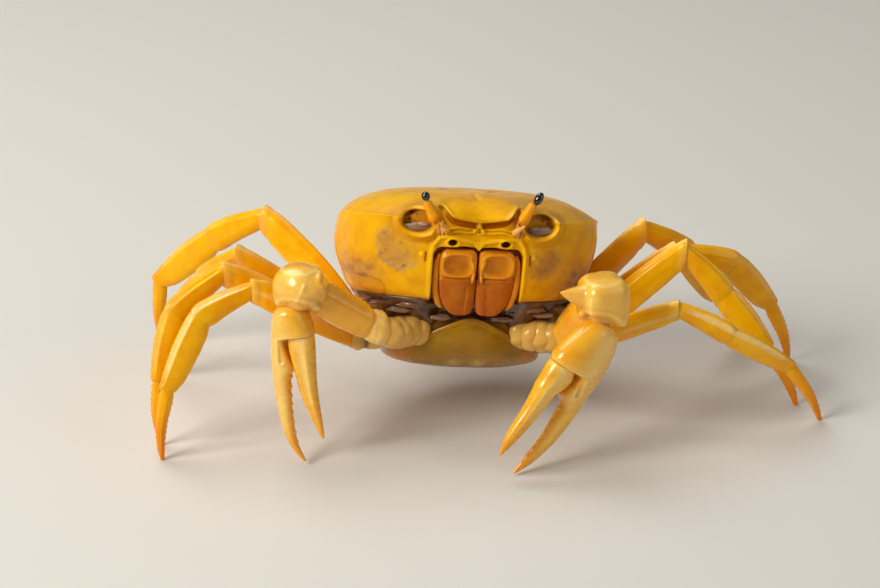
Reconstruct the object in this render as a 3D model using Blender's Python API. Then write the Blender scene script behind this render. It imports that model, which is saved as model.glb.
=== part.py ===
"""Terrathelphusa crab: a small orange land crab, life size, in a raised stance.

The crab faces -Y, its left side is +X, and it stands on the floor on eight leg tips.
Sizes are in millimetres until a mesh is made. The body and what sits on it are drawn in
the body's own frame and then tilted. Limbs are chains of segments from joint to joint.
"""
import math

import bmesh
import bpy
import numpy as np
from mathutils import Matrix, Vector

MM = 0.001
GAP = 0.3                  # clearance between touching pieces
PART_NAME = "terrathelphusa_crab"

# Body placing: where its middle is and how the crab holds it
BODY_MIDDLE = (-0.56, 0.0, 18.8)
HEAD_UP = 18.0             # degrees, front raised
LEFT_DOWN = 5.3            # degrees, left side lower
TURNED = -3.5              # degrees, front turned towards the crab's right

# Carapace, in the body's frame
SHELL_TOP = 11.8
SHELL_BOTTOM = -2.3
CREST_FRONT = 8.7          # height of the edge between wall and dome at the front, side and back
CREST_SIDE = 6.0
CREST_BACK = 3.6
WALL_TUCK = 0.12           # how far the side wall draws in at its foot
WALL_BULGE = 0.015         # and how far it swells out above that, at the sides
DOME_POWER = 3.8
DOME_ROUND = 0.55          # 1 gives the dome a sharp edge at the crest, less rounds it off
SHELL_CENTRE = (0.0, 0.6)
# Plan outline of the left half along the crest, from the middle of the front to the middle
# of the back
SHELL_OUTLINE = (
    (0.0, -12.9), (3.4, -13.4), (5.8, -13.0), (8.6, -12.4), (11.6, -10.9), (14.8, -8.2),
    (17.0, -4.4), (17.7, 0.2), (17.1, 5.0), (14.8, 9.6), (10.6, 12.8), (5.4, 14.2), (0.0, 14.5),
)

# Face
ORBIT = (8.0, -12.9, 8.2)
ORBIT_RADII = (2.7, 2.0, 2.1)
# Foot and top of each eyestalk, drawn for the left side
STALKS = {
    "right": ((6.1, -12.9, 8.6), (7.1, -13.0, 10.6)),
    "left": ((5.5, -12.9, 8.6), (6.8, -13.0, 10.9)),
}
STALK_RADIUS = 0.72
EYE_HEIGHT = 1.5
FEELER_ROOT = (4.6, -13.9, 7.3)
FEELER_TIP = (5.6, -14.9, 8.3)
MOUTH_TOP = (-12.4, 4.4)   # y and z of the mouth plates' upper end
MOUTH_FOOT = (-10.4, -3.8)
MOUTH_HALF_WIDTH = 5.8
PLATE_HALF_THICKNESS = 0.85

# Under side
STERNUM_HALF_WIDTH = 10.6
STERNUM_FRONT = -8.4
STERNUM_BACK = 12.0
STERNUM_BOTTOM = -9.2
PLEON_LOWEST = -12.3
PLEON_CENTRE = (0.0, 1.2)
PLEON_INNER_MIDDLE = -9.0
PLEON_RIM_THICKNESS = 0.7
# Rim of the left half of the folded tail plate, from its front tip to the back
PLEON_RIM = (
    (0.0, -9.4, -5.3), (3.4, -8.9, -6.5), (7.0, -7.0, -8.5), (10.0, -3.4, -9.9), (10.9, 1.2, -10.2),
    (10.3, 5.8, -9.4), (8.6, 9.6, -7.8), (5.0, 12.2, -6.6), (0.0, 12.9, -6.2),
)

# Walking legs, numbered from the front: where the long segment starts on the body's frame,
# and the lengths of merus, carpus, propodus and dactyl
LEG_ROOTS = {
    1: (15.4, -4.8, -8.2),
    2: (15.9, -0.4, -8.4),
    3: (15.4, 4.0, -7.8),
    4: (13.8, 8.0, -6.8),
}
LEG_LENGTHS = {
    1: (15.4, 7.6, 10.6, 10.2),
    2: (19.4, 8.2, 9.6, 9.6),
    3: (19.0, 9.0, 11.0, 10.4),
    4: (18.8, 9.0, 11.4, 10.6),
}
# Pose of each leg: turn and lift of merus, carpus and propodus, then the dactyl's turn, in
# degrees. Turn 0 points straight out sideways and plus is backwards; lift is up. The
# dactyl's own lift follows, because its tip stands on the floor.
POSE = {
    ("right", 1): ((-2, 31), (-15, -19), (-18, -61), -19),
    ("right", 2): ((-4, 33), (-22, -29), (-10, -74), -8),
    ("right", 3): ((-7, 40), (54, -38), (58, -47), 56),
    ("right", 4): ((41, 37), (28, -28), (28, -42), 28),
    ("left", 1): ((-27, 27), (-14, -27), (5, -33), 8),
    ("left", 2): ((-3, 40), (-13, -48), (-21, -50), -18),
    ("left", 3): ((-7, 39), (9, -18), (23, -48), 18),
    ("left", 4): ((-10, 48), (20, -35), (34, -50), 40),
}
LEG_PARTS = ("merus", "carpus", "propodus", "dactyl")
COXA_START = (8.2, 0.92, -6.7)   # x and z inside the sternum, and how much of the root's y is kept
COXA_RADIUS = 1.95
FOOT_RADIUS = 0.3
# The hind legs are stouter than the front ones
LEG_SIZE = {1: 0.97, 2: 1.0, 3: 1.03, 4: 1.12}
# Half depth, half thickness and rise of the middle line along each leg segment
LEG_SECTIONS = {
    "merus": ((0.0, 1.3, 0.95, 0.0), (0.12, 1.65, 1.1, 0.1), (0.4, 2.0, 1.15, 0.25),
              (0.7, 1.95, 1.1, 0.25), (0.9, 1.75, 1.08, 0.15), (1.0, 1.5, 1.0, 0.0)),
    "carpus": ((0.0, 1.15, 0.85, 0.0), (0.15, 1.3, 0.95, 0.1), (0.55, 1.65, 1.08, 0.25),
               (0.9, 1.85, 1.05, 0.1), (1.0, 1.7, 0.95, 0.0)),
    "propodus": ((0.0, 1.62, 0.9, 0.0), (0.2, 1.85, 1.0, 0.0), (0.5, 1.85, 0.98, 0.0),
                 (0.85, 1.5, 0.85, -0.1), (1.0, 1.15, 0.72, 0.0)),
    "dactyl": ((0.0, 0.86, 0.7, 0.0), (0.12, 0.95, 0.76, 0.12), (0.5, 0.76, 0.62, 0.5),
               (0.8, 0.5, 0.42, 0.35), (1.0, FOOT_RADIUS, FOOT_RADIUS, 0.0)),
}

# Claw arms: joints in the stance's frame, with the floor at z = 0. Along the claw, outer and
# inner are its two edges and thick its half thickness, each as rows of distance from the
# wrist and size. The movable finger's rows hold a fraction of its length, its middle, half
# width and half thickness. The fingers part at gape.
CLAWS = {
    "right": {
        "shoulder": (-12.6, -10.8, 16.2), "elbow": (-24.3, -12.0, 23.9), "wrist": (-25.1, -11.9, 21.0),
        "finger_tip": (-24.6, -15.4, 0.6), "dactyl_tip": (-21.6, -16.4, 4.3), "spine": (2.7, -3.1, 1.6),
        "elbow_size": (3.5, 3.2, 3.5),
        "outer": ((0.0, -2.2), (0.9, -2.8), (3.1, -3.35), (5.4, -3.55), (9.2, -3.55), (13.5, -3.2),
                  (16.7, -2.6), (19.1, -1.5), (20.6, -0.25)),
        "inner": ((0.0, 1.4), (1.1, 1.9), (2.0, 2.4), (3.0, 2.5), (3.2, -1.5), (5.6, -1.4),
                  (7.2, -1.05), (8.0, -0.95), (9.2, -1.1), (11.9, -1.25), (14.4, -1.3), (18.1, -0.84),
                  (20.6, 0.25)),
        "thick": ((0.0, 1.5), (2.0, 2.05), (4.0, 2.05), (6.0, 1.5), (9.0, 1.15), (13.5, 0.9), (18.0, 0.6),
                  (20.6, 0.25)),
        "hinge": ((3.2, 2.5), (3.3, -1.15)), "gape": 9.0,
        "dactyl": ((0.0, 0.68, 1.82, 1.65), (0.17, 0.8, 1.72, 1.5), (0.34, 1.0, 1.45, 1.25),
                   (0.5, 1.2, 1.25, 1.05), (0.63, 1.5, 1.05, 0.9), (0.86, 2.3, 0.58, 0.5),
                   (1.0, 2.8, 0.25, 0.25)),
    },
    "left": {
        "shoulder": (10.2, -11.4, 13.8), "elbow": (14.6, -18.4, 22.0), "wrist": (13.6, -20.2, 19.0),
        "finger_tip": (2.2, -22.9, 0.6), "dactyl_tip": (-1.2, -24.6, 4.7), "spine": (-6.0, -1.0, 2.3),
        "elbow_size": (3.1, 3.2, 3.6),
        "outer": ((0.0, -2.9), (2.0, -3.9), (6.0, -4.4), (9.2, -4.1), (12.9, -3.9), (15.9, -3.3),
                  (19.2, -2.15), (21.2, -0.9), (22.0, -0.25)),
        "inner": ((0.0, 1.8), (1.0, 2.4), (4.2, 4.1), (5.2, 4.3), (5.9, 4.2), (6.1, -0.1),
                  (7.3, -0.45), (8.6, -0.25), (9.2, 0.0), (9.6, 0.35), (10.0, -0.1), (10.5, -0.8),
                  (11.5, -1.15), (13.3, -1.1), (15.8, -1.05), (19.2, -0.36), (22.0, 0.25)),
        "thick": ((0.0, 1.7), (2.5, 2.4), (5.5, 2.5), (8.0, 1.95), (10.5, 1.4), (14.5, 1.05),
                  (19.0, 0.65), (22.0, 0.25)),
        "hinge": ((6.1, 4.3), (6.1, 0.2)), "gape": 11.6,
        "dactyl": ((0.0, 2.3, 1.95, 1.75), (0.085, 2.15, 2.2, 1.75), (0.19, 2.35, 2.0, 1.6),
                   (0.26, 2.8, 1.6, 1.45), (0.31, 2.8, 1.5, 1.35), (0.5, 3.0, 1.2, 1.1),
                   (0.7, 3.35, 1.05, 0.9), (0.87, 3.7, 0.72, 0.6), (0.95, 3.8, 0.38, 0.34),
                   (1.0, 3.75, 0.25, 0.25)),
    },
}
PALM_START = 0.3           # the palm begins this far below the wrist, inside the elbow's hollow
CLAW_TEETH = 7
TOOTH_HEIGHT = 0.3
ELBOW_SQUARENESS = 2.7
SPINE_SPREAD = 0.5         # radians from the spine's middle line to where it leaves the elbow piece
SMALL_TOOTH = (0.75, 2.4, 4.14)    # radius, and how far its foot and tip are from the elbow's middle
ARM_MERUS = ((0.0, 1.6, 1.3, 0.0), (0.2, 2.0, 1.6, 0.0), (0.6, 2.3, 1.8, 0.15), (0.9, 2.1, 1.75, 0.4),
             (1.0, 1.8, 1.6, 0.45))
ARM_STOP = 1.4             # how far short of the elbow's middle the upper arm ends
ARM_COXA_START = (6.4, -6.6, -6.6)

SIDES = 12
COLOURS = {
    "shell": (0.80, 0.36, 0.02),
    "leg": (0.86, 0.42, 0.02),
    "claw": (0.90, 0.60, 0.18),
    "mouth": (0.50, 0.14, 0.01),
    "under": (0.45, 0.25, 0.05),
    "stalk": (0.80, 0.30, 0.02),
    "eye": (0.004, 0.004, 0.005),
}


# Placing

def body_matrix():
    """Body frame to stance frame, in millimetres."""
    turn = Matrix.Rotation(math.radians(TURNED), 4, "Z")
    roll = Matrix.Rotation(math.radians(LEFT_DOWN), 4, "Y")
    pitch = Matrix.Rotation(math.radians(-HEAD_UP), 4, "X")
    return Matrix.Translation(BODY_MIDDLE) @ turn @ roll @ pitch


BODY = body_matrix()


def on_body(points):
    """Move points of the body's frame to the stance."""
    matrix = np.array(BODY)
    points = np.asarray(points, float)
    return points @ matrix[:3, :3].T + matrix[:3, 3]


def mirrored(points):
    """The right side's copy of points drawn for the left side."""
    return np.asarray(points, float) * (-1.0, 1.0, 1.0)


def side_sign(side):
    return 1.0 if side == "left" else -1.0


# Scene and mesh helpers

def clear_scene():
    for item in list(bpy.data.objects):
        bpy.data.objects.remove(item, do_unlink=True)


def make_collection(name):
    collection = bpy.data.collections.new(name)
    bpy.context.scene.collection.children.link(collection)
    return collection


def make_material(name, colour, roughness):
    material = bpy.data.materials.new(name)
    material.use_nodes = True
    shader = material.node_tree.nodes["Principled BSDF"]
    shader.inputs["Base Color"].default_value = (*colour, 1.0)
    shader.inputs["Roughness"].default_value = roughness
    shader.inputs["Metallic"].default_value = 0.0
    return material


def mesh_object(name, points, faces, collection):
    """A closed mesh object from points in millimetres, its faces turned outwards."""
    mesh = bpy.data.meshes.new(name)
    mesh.from_pydata([tuple(p * MM) for p in np.asarray(points, float)], [], faces)
    work = bmesh.new()
    work.from_mesh(mesh)
    bmesh.ops.remove_doubles(work, verts=work.verts, dist=1e-7)
    bmesh.ops.triangulate(work, faces=work.faces)
    bmesh.ops.recalc_face_normals(work, faces=work.faces)
    work.to_mesh(mesh)
    work.free()
    mesh.shade_smooth()
    item = bpy.data.objects.new(name, mesh)
    collection.objects.link(item)
    return item


def skin_rings(rings, close_ends=True):
    """Points and faces of a tube through rings of equal count, with a fan on each end."""
    rings = np.asarray(rings, float)
    count, sides = rings.shape[:2]
    points = rings.reshape(-1, 3)
    faces = []
    for i in range(count - 1):
        for j in range(sides):
            k = (j + 1) % sides
            faces.append((i * sides + j, i * sides + k, (i + 1) * sides + k, (i + 1) * sides + j))
    if close_ends:
        points = np.vstack([points, rings[0].mean(0), rings[-1].mean(0)])
        first, last = count * sides, count * sides + 1
        base = (count - 1) * sides
        for j in range(sides):
            k = (j + 1) % sides
            faces.append((first, k, j))
            faces.append((last, base + j, base + k))
    return points, faces


def apply_modifiers(item):
    """Replace the object's mesh by what its modifiers give, keeping its largest closed surface."""
    graph = bpy.context.evaluated_depsgraph_get()
    mesh = bpy.data.meshes.new_from_object(item.evaluated_get(graph))
    item.modifiers.clear()
    item.data = mesh
    work = bmesh.new()
    work.from_mesh(mesh)
    bmesh.ops.remove_doubles(work, verts=work.verts, dist=2e-6)
    bmesh.ops.dissolve_degenerate(work, edges=work.edges, dist=2e-6)
    bmesh.ops.triangulate(work, faces=work.faces)
    left = set(work.faces)
    shells = []
    while left:
        seed = left.pop()
        shell, queue = {seed}, [seed]
        while queue:
            for edge in queue.pop().edges:
                for face in edge.link_faces:
                    if face in left:
                        left.discard(face)
                        shell.add(face)
                        queue.append(face)
        shells.append(shell)
    shells.sort(key=len, reverse=True)
    scraps = [face for shell in shells[1:] for face in shell]
    if scraps:
        bmesh.ops.delete(work, geom=scraps, context="FACES")
        loose = [v for v in work.verts if not v.link_faces]
        bmesh.ops.delete(work, geom=loose, context="VERTS")
    work.to_mesh(mesh)
    work.free()


def cut(item, cutters, solver="EXACT"):
    """Take the cutters, which are removed, out of the object."""
    for cutter in cutters:
        modifier = item.modifiers.new("cut", "BOOLEAN")
        modifier.operation = "DIFFERENCE"
        modifier.solver = solver
        modifier.object = cutter
        apply_modifiers(item)
        bpy.data.objects.remove(cutter, do_unlink=True)


def fuse(item, pieces):
    """Join closed pieces to the object in one union and remove them."""
    together = make_collection("fused_" + item.name)
    for piece in pieces:
        for owner in list(piece.users_collection):
            owner.objects.unlink(piece)
        together.objects.link(piece)
    modifier = item.modifiers.new("union", "BOOLEAN")
    modifier.operation = "UNION"
    modifier.solver = "EXACT"
    modifier.operand_type = "COLLECTION"
    modifier.collection = together
    apply_modifiers(item)
    for piece in list(together.objects):
        bpy.data.objects.remove(piece, do_unlink=True)
    bpy.data.collections.remove(together)


# Curves and sections

def smooth(low, high, x):
    """Soft step from 0 at low to 1 at high."""
    t = np.clip((np.asarray(x, float) - low) / (high - low), 0.0, 1.0)
    return t * t * (3.0 - 2.0 * t)


def curve(table, t):
    """Values of a table (t, value, ...) joined by cubics whose slopes run across both neighbours."""
    table = np.asarray(table, float)
    x, y = table[:, 0], table[:, 1:]
    slopes = np.empty_like(y)
    slopes[1:-1] = (y[2:] - y[:-2]) / (x[2:] - x[:-2])[:, None]
    slopes[0] = (y[1] - y[0]) / (x[1] - x[0])
    slopes[-1] = (y[-1] - y[-2]) / (x[-1] - x[-2])
    t = np.clip(np.asarray(t, float), x[0], x[-1])
    i = np.clip(np.searchsorted(x, t, side="right") - 1, 0, len(x) - 2)
    h = x[i + 1] - x[i]
    u = ((t - x[i]) / h)[:, None]
    h = h[:, None]
    return ((2 * u ** 3 - 3 * u ** 2 + 1) * y[i] + (u ** 3 - 2 * u ** 2 + u) * h * slopes[i]
            + (-2 * u ** 3 + 3 * u ** 2) * y[i + 1] + (u ** 3 - u ** 2) * h * slopes[i + 1])


def catmull_rom(points, per_span, closed):
    """Points on a smooth curve through the given ones."""
    points = np.asarray(points, float)
    count = len(points)
    spans = count if closed else count - 1
    out = []
    for i in range(spans):
        if closed:
            a, b, c, d = (points[(i + k) % count] for k in (-1, 0, 1, 2))
        else:
            a, b, c, d = (points[min(max(i + k, 0), count - 1)] for k in (-1, 0, 1, 2))
        for step in range(per_span):
            t = step / per_span
            out.append(0.5 * (2 * b + (c - a) * t + (2 * a - 5 * b + 4 * c - d) * t * t
                              + (3 * b - a - 3 * c + d) * t ** 3))
    if not closed:
        out.append(points[-1])
    return np.array(out)


def whole_outline(half, per_span):
    """Closed smooth outline from the left half's points, front to back."""
    half = np.asarray(half, float)
    other = half[-2:0:-1].copy()
    other[:, 0] *= -1.0
    return catmull_rom(np.vstack([half, other]), per_span, closed=True)


def section(half_depth, half_width, sides=SIDES, squareness=2.3):
    """Superellipse ring as depth and width offsets."""
    angle = np.linspace(0.0, 2.0 * math.pi, sides, endpoint=False)
    c, s = np.cos(angle), np.sin(angle)
    power = 2.0 / squareness
    return np.stack([half_depth * np.sign(c) * np.abs(c) ** power,
                     half_width * np.sign(s) * np.abs(s) ** power], -1)


def limb_rings(start, end, across, rows, start_plane, end_plane, sides=SIDES):
    """Rings of a limb segment between two planes.

    across is the thickness direction. rows hold the fraction along, half depth, half
    thickness and rise. Each lengthwise line runs straight between the two planes, and the
    sections are set off from it, so both ends are flat and lie in their planes.
    """
    start, end = np.asarray(start, float), np.asarray(end, float)
    along = end - start
    length = np.linalg.norm(along)
    along = along / length
    across = across - along * (across @ along)
    across = across / np.linalg.norm(across)
    up = np.cross(along, across)
    if up[2] < -0.2:
        up = -up

    def offsets(row):
        ring = section(row[1], row[2], sides)
        return ring[:, :1] * up + ring[:, 1:] * across + row[3] * up

    def reach(plane, ring):
        point, normal = (np.asarray(v, float) for v in plane)
        return ((point - start - ring) @ normal) / (along @ normal)

    first = reach(start_plane, offsets(rows[0]))
    last = reach(end_plane, offsets(rows[-1]))
    rings = []
    for row in rows:
        distance = first * (1.0 - row[0]) + last * row[0]
        rings.append(start + distance[:, None] * along + offsets(row))
    return rings


def joint_planes(points):
    """For each inner joint of a chain, the end plane before it and the start plane after it."""
    points = [np.asarray(p, float) for p in points]
    ends, starts = {}, {}
    for i in range(1, len(points) - 1):
        before = points[i] - points[i - 1]
        after = points[i + 1] - points[i]
        normal = before / np.linalg.norm(before) + after / np.linalg.norm(after)
        normal = normal / np.linalg.norm(normal)
        ends[i] = (points[i] - normal * GAP / 2, normal)
        starts[i] = (points[i] + normal * GAP / 2, normal)
    return ends, starts


# Walking legs

def heading(side, turn, lift):
    turn, lift = math.radians(turn), math.radians(lift)
    return np.array([side_sign(side) * math.cos(turn) * math.cos(lift),
                     math.sin(turn) * math.cos(lift), math.sin(lift)])


def leg_points(side, number):
    """Joints of a leg from inside the sternum to the tip on the floor."""
    root = np.array(LEG_ROOTS[number])
    inner = np.array([COXA_START[0], root[1] * COXA_START[1], COXA_START[2]])
    if side == "right":
        root, inner = mirrored(root), mirrored(inner)
    points = [on_body(inner), on_body(root)]
    *bends, last_turn = POSE[side, number]
    lengths = LEG_LENGTHS[number]
    for (turn, lift), length in zip(bends, lengths):
        points.append(points[-1] + length * heading(side, turn, lift))
    drop = math.degrees(math.asin(min(1.0, points[-1][2] / lengths[3])))
    points.append(points[-1] + lengths[3] * heading(side, last_turn, -drop))
    points[-1][2] = 0.0
    return points


def sized(rows, size):
    """Section rows with everything but the place along the limb multiplied by size."""
    return [(t, depth * size, thickness * size, rise * size) for t, depth, thickness, rise in rows]


def make_leg(side, number, parts, stubs):
    points = leg_points(side, number)
    ends, starts = joint_planes(points)
    # The leg bends in the plane of its merus and propodus, and is thin across that plane
    across = np.cross(points[2] - points[1], points[4] - points[3])
    floor = (np.zeros(3), np.array([0.0, 0.0, 1.0]))
    for i, part in enumerate(LEG_PARTS):
        end_plane = floor if part == "dactyl" else ends[i + 2]
        rings = limb_rings(points[i + 1], points[i + 2], across,
                           sized(LEG_SECTIONS[part], LEG_SIZE[number]), starts[i + 1], end_plane)
        mesh_object(f"leg_{side}_{number}_{part}", *skin_rings(rings), parts)
    along = points[1] - points[0]
    stub_rows = ((0.0, 1.5, 1.5, 0.0), (0.5, COXA_RADIUS, COXA_RADIUS, 0.0),
                 (0.85, COXA_RADIUS, 1.7, 0.0), (1.0, 1.45, 1.15, 0.0))
    rings = limb_rings(points[0], points[1], np.array([0.0, 1.0, 0.0]), stub_rows,
                       (points[0], along), ends[1], sides=10)
    stubs.append(mesh_object(f"coxa_{side}_{number}", *skin_rings(rings), parts))


# Claw arms

def claw_axes(claw):
    """Wrist, and the directions down the claw, towards its movable finger and through it."""
    wrist, tip = np.array(claw["wrist"]), np.array(claw["finger_tip"])
    axis = (tip - wrist) / np.linalg.norm(tip - wrist)
    inward = np.array(claw["dactyl_tip"]) - tip
    inward = inward - axis * (inward @ axis)
    inward = inward / np.linalg.norm(inward)
    return wrist, axis, inward, np.cross(axis, inward)


def tooth_rows(first, last):
    """Places of a row of blunt teeth along a finger, and how high each place stands."""
    places = np.linspace(first, last, 2 * CLAW_TEETH + 1)
    taper = 1.0 - 0.6 * (places - first) / (last - first)
    return places, TOOTH_HEIGHT * taper * (np.arange(len(places)) % 2)


def palm_solid(claw, name, parts):
    """Palm and fixed finger: a section between the outer and inner edge at each place."""
    wrist, axis, inward, through = claw_axes(claw)
    hinge, length = claw["hinge"][0][0], claw["outer"][-1][0]
    bends = [s for s, edge in claw["inner"] if hinge - 1.0 < s < claw["gape"]]
    teeth, heights = tooth_rows(claw["gape"] + 0.2, length - 1.6)
    places = np.concatenate([[PALM_START], np.linspace(1.0, hinge - 1.1, 4), bends, teeth, [length]])
    heights = np.concatenate([np.zeros(5 + len(bends)), heights, [0.0]])
    inner = np.interp(places, *np.array(claw["inner"]).T)
    outer, thick = curve(claw["outer"], places)[:, 0], curve(claw["thick"], places)[:, 0]
    rings = []
    for s, low, high, half_thickness, tooth in zip(places, outer, inner, thick, heights):
        ring = section((high - low) / 2, half_thickness)
        ring[0, 0] += tooth
        rings.append(wrist + s * axis + (ring[:, :1] + (low + high) / 2) * inward + ring[:, 1:] * through)
    return mesh_object(name, *skin_rings(rings), parts)


def dactyl_solid(claw, name, parts):
    """Movable finger: sections on a bowed middle line, from the hinge's plane to the tip."""
    wrist, axis, inward, through = claw_axes(claw)
    (s0, w0), (s1, w1) = claw["hinge"]
    reach = np.array(claw["dactyl_tip"]) - wrist
    teeth, heights = tooth_rows(0.4, 0.9)
    places = np.concatenate([[0.0, 0.085, 0.19, 0.26, 0.31], teeth, [1.0]])
    heights = np.concatenate([np.zeros(5), heights, [0.0]])
    rings = []
    for t, (middle, half, thick), tooth in zip(places, curve(claw["dactyl"], places), heights):
        ring = section(half, thick)
        ring[len(ring) // 2, 0] -= tooth
        across = middle + ring[:, :1]
        start = s0 + (w0 - across) * (s1 - s0) / (w0 - w1) + GAP
        s = start * (1.0 - t) + (reach @ axis) * t
        lean = (reach @ through) * t ** 1.5
        rings.append(wrist + s * axis + across * inward + (ring[:, 1:] + lean) * through)
    return mesh_object(name, *skin_rings(rings), parts)


def elbow_solid(claw, name, grow, parts):
    """Elbow piece: a boxy ball whose pole is drawn out to a spine. Grown, it has no spine."""
    elbow, spine = np.array(claw["elbow"]), np.array(claw["spine"])
    ex = np.array([spine[0], spine[1], 0.0])
    ex = ex / np.linalg.norm(ex)
    frame = np.stack([ex, np.cross((0.0, 0.0, 1.0), ex), (0.0, 0.0, 1.0)])
    pole = frame @ spine / np.linalg.norm(spine)
    side_axis = np.cross(pole, (0.0, 0.0, 1.0))
    side_axis = side_axis / np.linalg.norm(side_axis)
    up_axis = np.cross(side_axis, pole)
    size = np.array(claw["elbow_size"]) + grow
    around = np.linspace(0.0, 2.0 * math.pi, 16, endpoint=False)[:, None]
    spokes = np.cos(around) * up_axis + np.sin(around) * side_axis
    rings = []
    for q in np.linspace(0.0, 1.0, 15)[1:-1]:
        polar = math.pi * q ** 1.35
        d = math.cos(polar) * pole + math.sin(polar) * spokes
        r = (np.abs(d / size) ** ELBOW_SQUARENESS).sum(1) ** (-1.0 / ELBOW_SQUARENESS)
        if not grow:
            r = r + (np.linalg.norm(spine) - r) * max(0.0, 1.0 - polar / SPINE_SPREAD) ** 1.5
        rings.append(elbow + (r[:, None] * d) @ frame)
    return mesh_object(name, *skin_rings(rings), parts)


def small_tooth(claw, parts):
    """Blunt tooth under the elbow's spine."""
    radius, inner, outer = SMALL_TOOTH
    elbow, spine = np.array(claw["elbow"]), np.array(claw["spine"])
    out = spine / np.linalg.norm(spine) + (0.0, 0.0, -0.85)
    out = out / np.linalg.norm(out)
    foot, tip = elbow + out * inner, elbow + out * outer
    rows = ((0.0, radius, radius, 0.0), (0.6, radius * 0.8, radius * 0.8, 0.0), (1.0, 0.15, 0.15, 0.0))
    rings = limb_rings(foot, tip, np.cross(out, (0.0, 0.0, 1.0)), rows, (foot, out), (tip, out), sides=8)
    return mesh_object("small_tooth", *skin_rings(rings), parts)


def make_claw_arm(side, parts, stubs):
    claw = CLAWS[side]
    shoulder, elbow = np.array(claw["shoulder"]), np.array(claw["elbow"])
    inner = np.array(ARM_COXA_START)
    if side == "right":
        inner = mirrored(inner)
    points = [on_body(inner), shoulder, elbow]
    ends, starts = joint_planes(points)
    level = np.cross(elbow - shoulder, (0.0, 0.0, 1.0))

    along = (elbow - shoulder) / np.linalg.norm(elbow - shoulder)
    stop = elbow - along * ARM_STOP
    rings = limb_rings(shoulder, stop, level, ARM_MERUS, starts[1], (stop, along))
    merus = mesh_object(f"cheliped_{side}_merus", *skin_rings(rings), parts)
    carpus = elbow_solid(claw, f"cheliped_{side}_carpus", 0.0, parts)
    fuse(carpus, [small_tooth(claw, parts)])
    palm = palm_solid(claw, f"cheliped_{side}_palm", parts)
    dactyl_solid(claw, f"cheliped_{side}_dactyl", parts)
    # Clear the upper arm and the palm of the elbow piece
    cut(merus, [elbow_solid(claw, "elbow_clearance", GAP, parts)])
    cut(palm, [elbow_solid(claw, "elbow_clearance", GAP, parts)])

    along = points[1] - points[0]
    stub_rows = ((0.0, 1.9, 1.9, 0.0), (0.5, 2.4, 2.3, 0.0), (0.85, 2.2, 2.1, 0.0), (1.0, 1.6, 1.5, 0.0))
    rings = limb_rings(points[0], points[1], np.array([0.0, 0.0, 1.0]), stub_rows,
                       (points[0], along), ends[1], sides=10)
    stubs.append(mesh_object(f"arm_coxa_{side}", *skin_rings(rings), parts))


# Body

def crest_height(y):
    """Height of the edge between the shell's wall and its dome."""
    return (CREST_FRONT + (CREST_SIDE - CREST_FRONT) * smooth(-5.0, 4.0, y)
            + (CREST_BACK - CREST_SIDE) * smooth(4.0, 14.0, y))


def make_carapace(parts):
    """Shell from stacked copies of its plan outline, domed above the crest and tucked in below."""
    outline = whole_outline(SHELL_OUTLINE, 2)
    centre = np.array(SHELL_CENTRE)
    crest = crest_height(outline[:, 1])
    sides = smooth(11.0, 16.0, np.abs(outline[:, 0]))[:, None]
    rings = []
    for tau in (1.0, 1.0, 0.9, 0.72, 0.5, 0.3, 0.15, 0.0):
        swell = WALL_BULGE * sides * math.sin(math.pi * min(1.0, 1.5 * tau))
        plan = centre + (outline - centre) * (1.0 + swell - WALL_TUCK * tau ** 2.2)
        rings.append(np.column_stack([plan, crest + (SHELL_BOTTOM - crest) * tau]))
    rings[0][:, :2] = centre + (rings[0][:, :2] - centre) * 0.93
    rings[1][:, 2] += 0.7
    # The dome leaves the wall at an edge beside the face, and is rounded elsewhere
    edge = smooth(6.0, 10.5, np.abs(outline[:, 0])) * smooth(2.0, -5.0, outline[:, 1])
    rounding = DOME_ROUND + (1.0 - DOME_ROUND) * edge
    for reach in (0.985, 0.95, 0.88, 0.77, 0.62, 0.42, 0.2):
        level = crest + (SHELL_TOP - crest) * (1.0 - reach ** DOME_POWER) ** rounding
        rings.append(np.column_stack([centre + (outline - centre) * reach, level]))
    points, faces = skin_rings(rings)
    points[-1, 2] = SHELL_TOP
    shell = mesh_object("carapace", on_body(points), faces, parts)
    cutters = [mouth_cutter(parts)]
    for side in ("left", "right"):
        orbit = np.array(ORBIT) * (side_sign(side), 1.0, 1.0)
        cutters.append(body_ellipsoid("orbit_cutter", orbit, ORBIT_RADII, parts))
        cutters.append(stalk_solid("stalk_clearance", side, STALK_RADIUS + GAP, GAP, parts))
    cut(shell, cutters)


def body_ellipsoid(name, centre, radii, parts, segments=18, rows=12):
    """UV sphere stretched to three radii and placed in the body's frame."""
    work = bmesh.new()
    bmesh.ops.create_uvsphere(work, u_segments=segments, v_segments=rows, radius=1.0)
    points = np.array([v.co[:] for v in work.verts]) * radii + centre
    faces = [tuple(v.index for v in f.verts) for f in work.faces]
    work.free()
    return mesh_object(name, on_body(points), faces, parts)


def mouth_cutter(parts):
    """Block that opens the recess of the mouth plates, tilted as they are."""
    (y1, z1), (y0, z0) = MOUTH_TOP, MOUTH_FOOT
    slope = np.array([0.0, y1 - y0, z1 - z0])
    slope = slope / np.linalg.norm(slope)
    back = np.cross(slope, (1.0, 0.0, 0.0))
    if back[1] < 0:
        back = -back
    middle = np.array([0.0, (y0 + y1) / 2, (z0 + z1) / 2])
    reach = math.hypot(y1 - y0, z1 - z0) / 2
    corners = []
    for x in (-1.0, 1.0):
        for depth in (-6.0, PLATE_HALF_THICKNESS + GAP):
            for height in (-reach - 3.0, reach + GAP):
                corners.append(middle + np.array([x * (MOUTH_HALF_WIDTH + GAP), 0, 0])
                               + back * depth + slope * height)
    faces = [(0, 1, 3, 2), (4, 6, 7, 5), (0, 4, 5, 1), (2, 3, 7, 6), (0, 2, 6, 4), (1, 5, 7, 3)]
    return mesh_object("mouth_cutter", on_body(corners), faces, parts)


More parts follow.
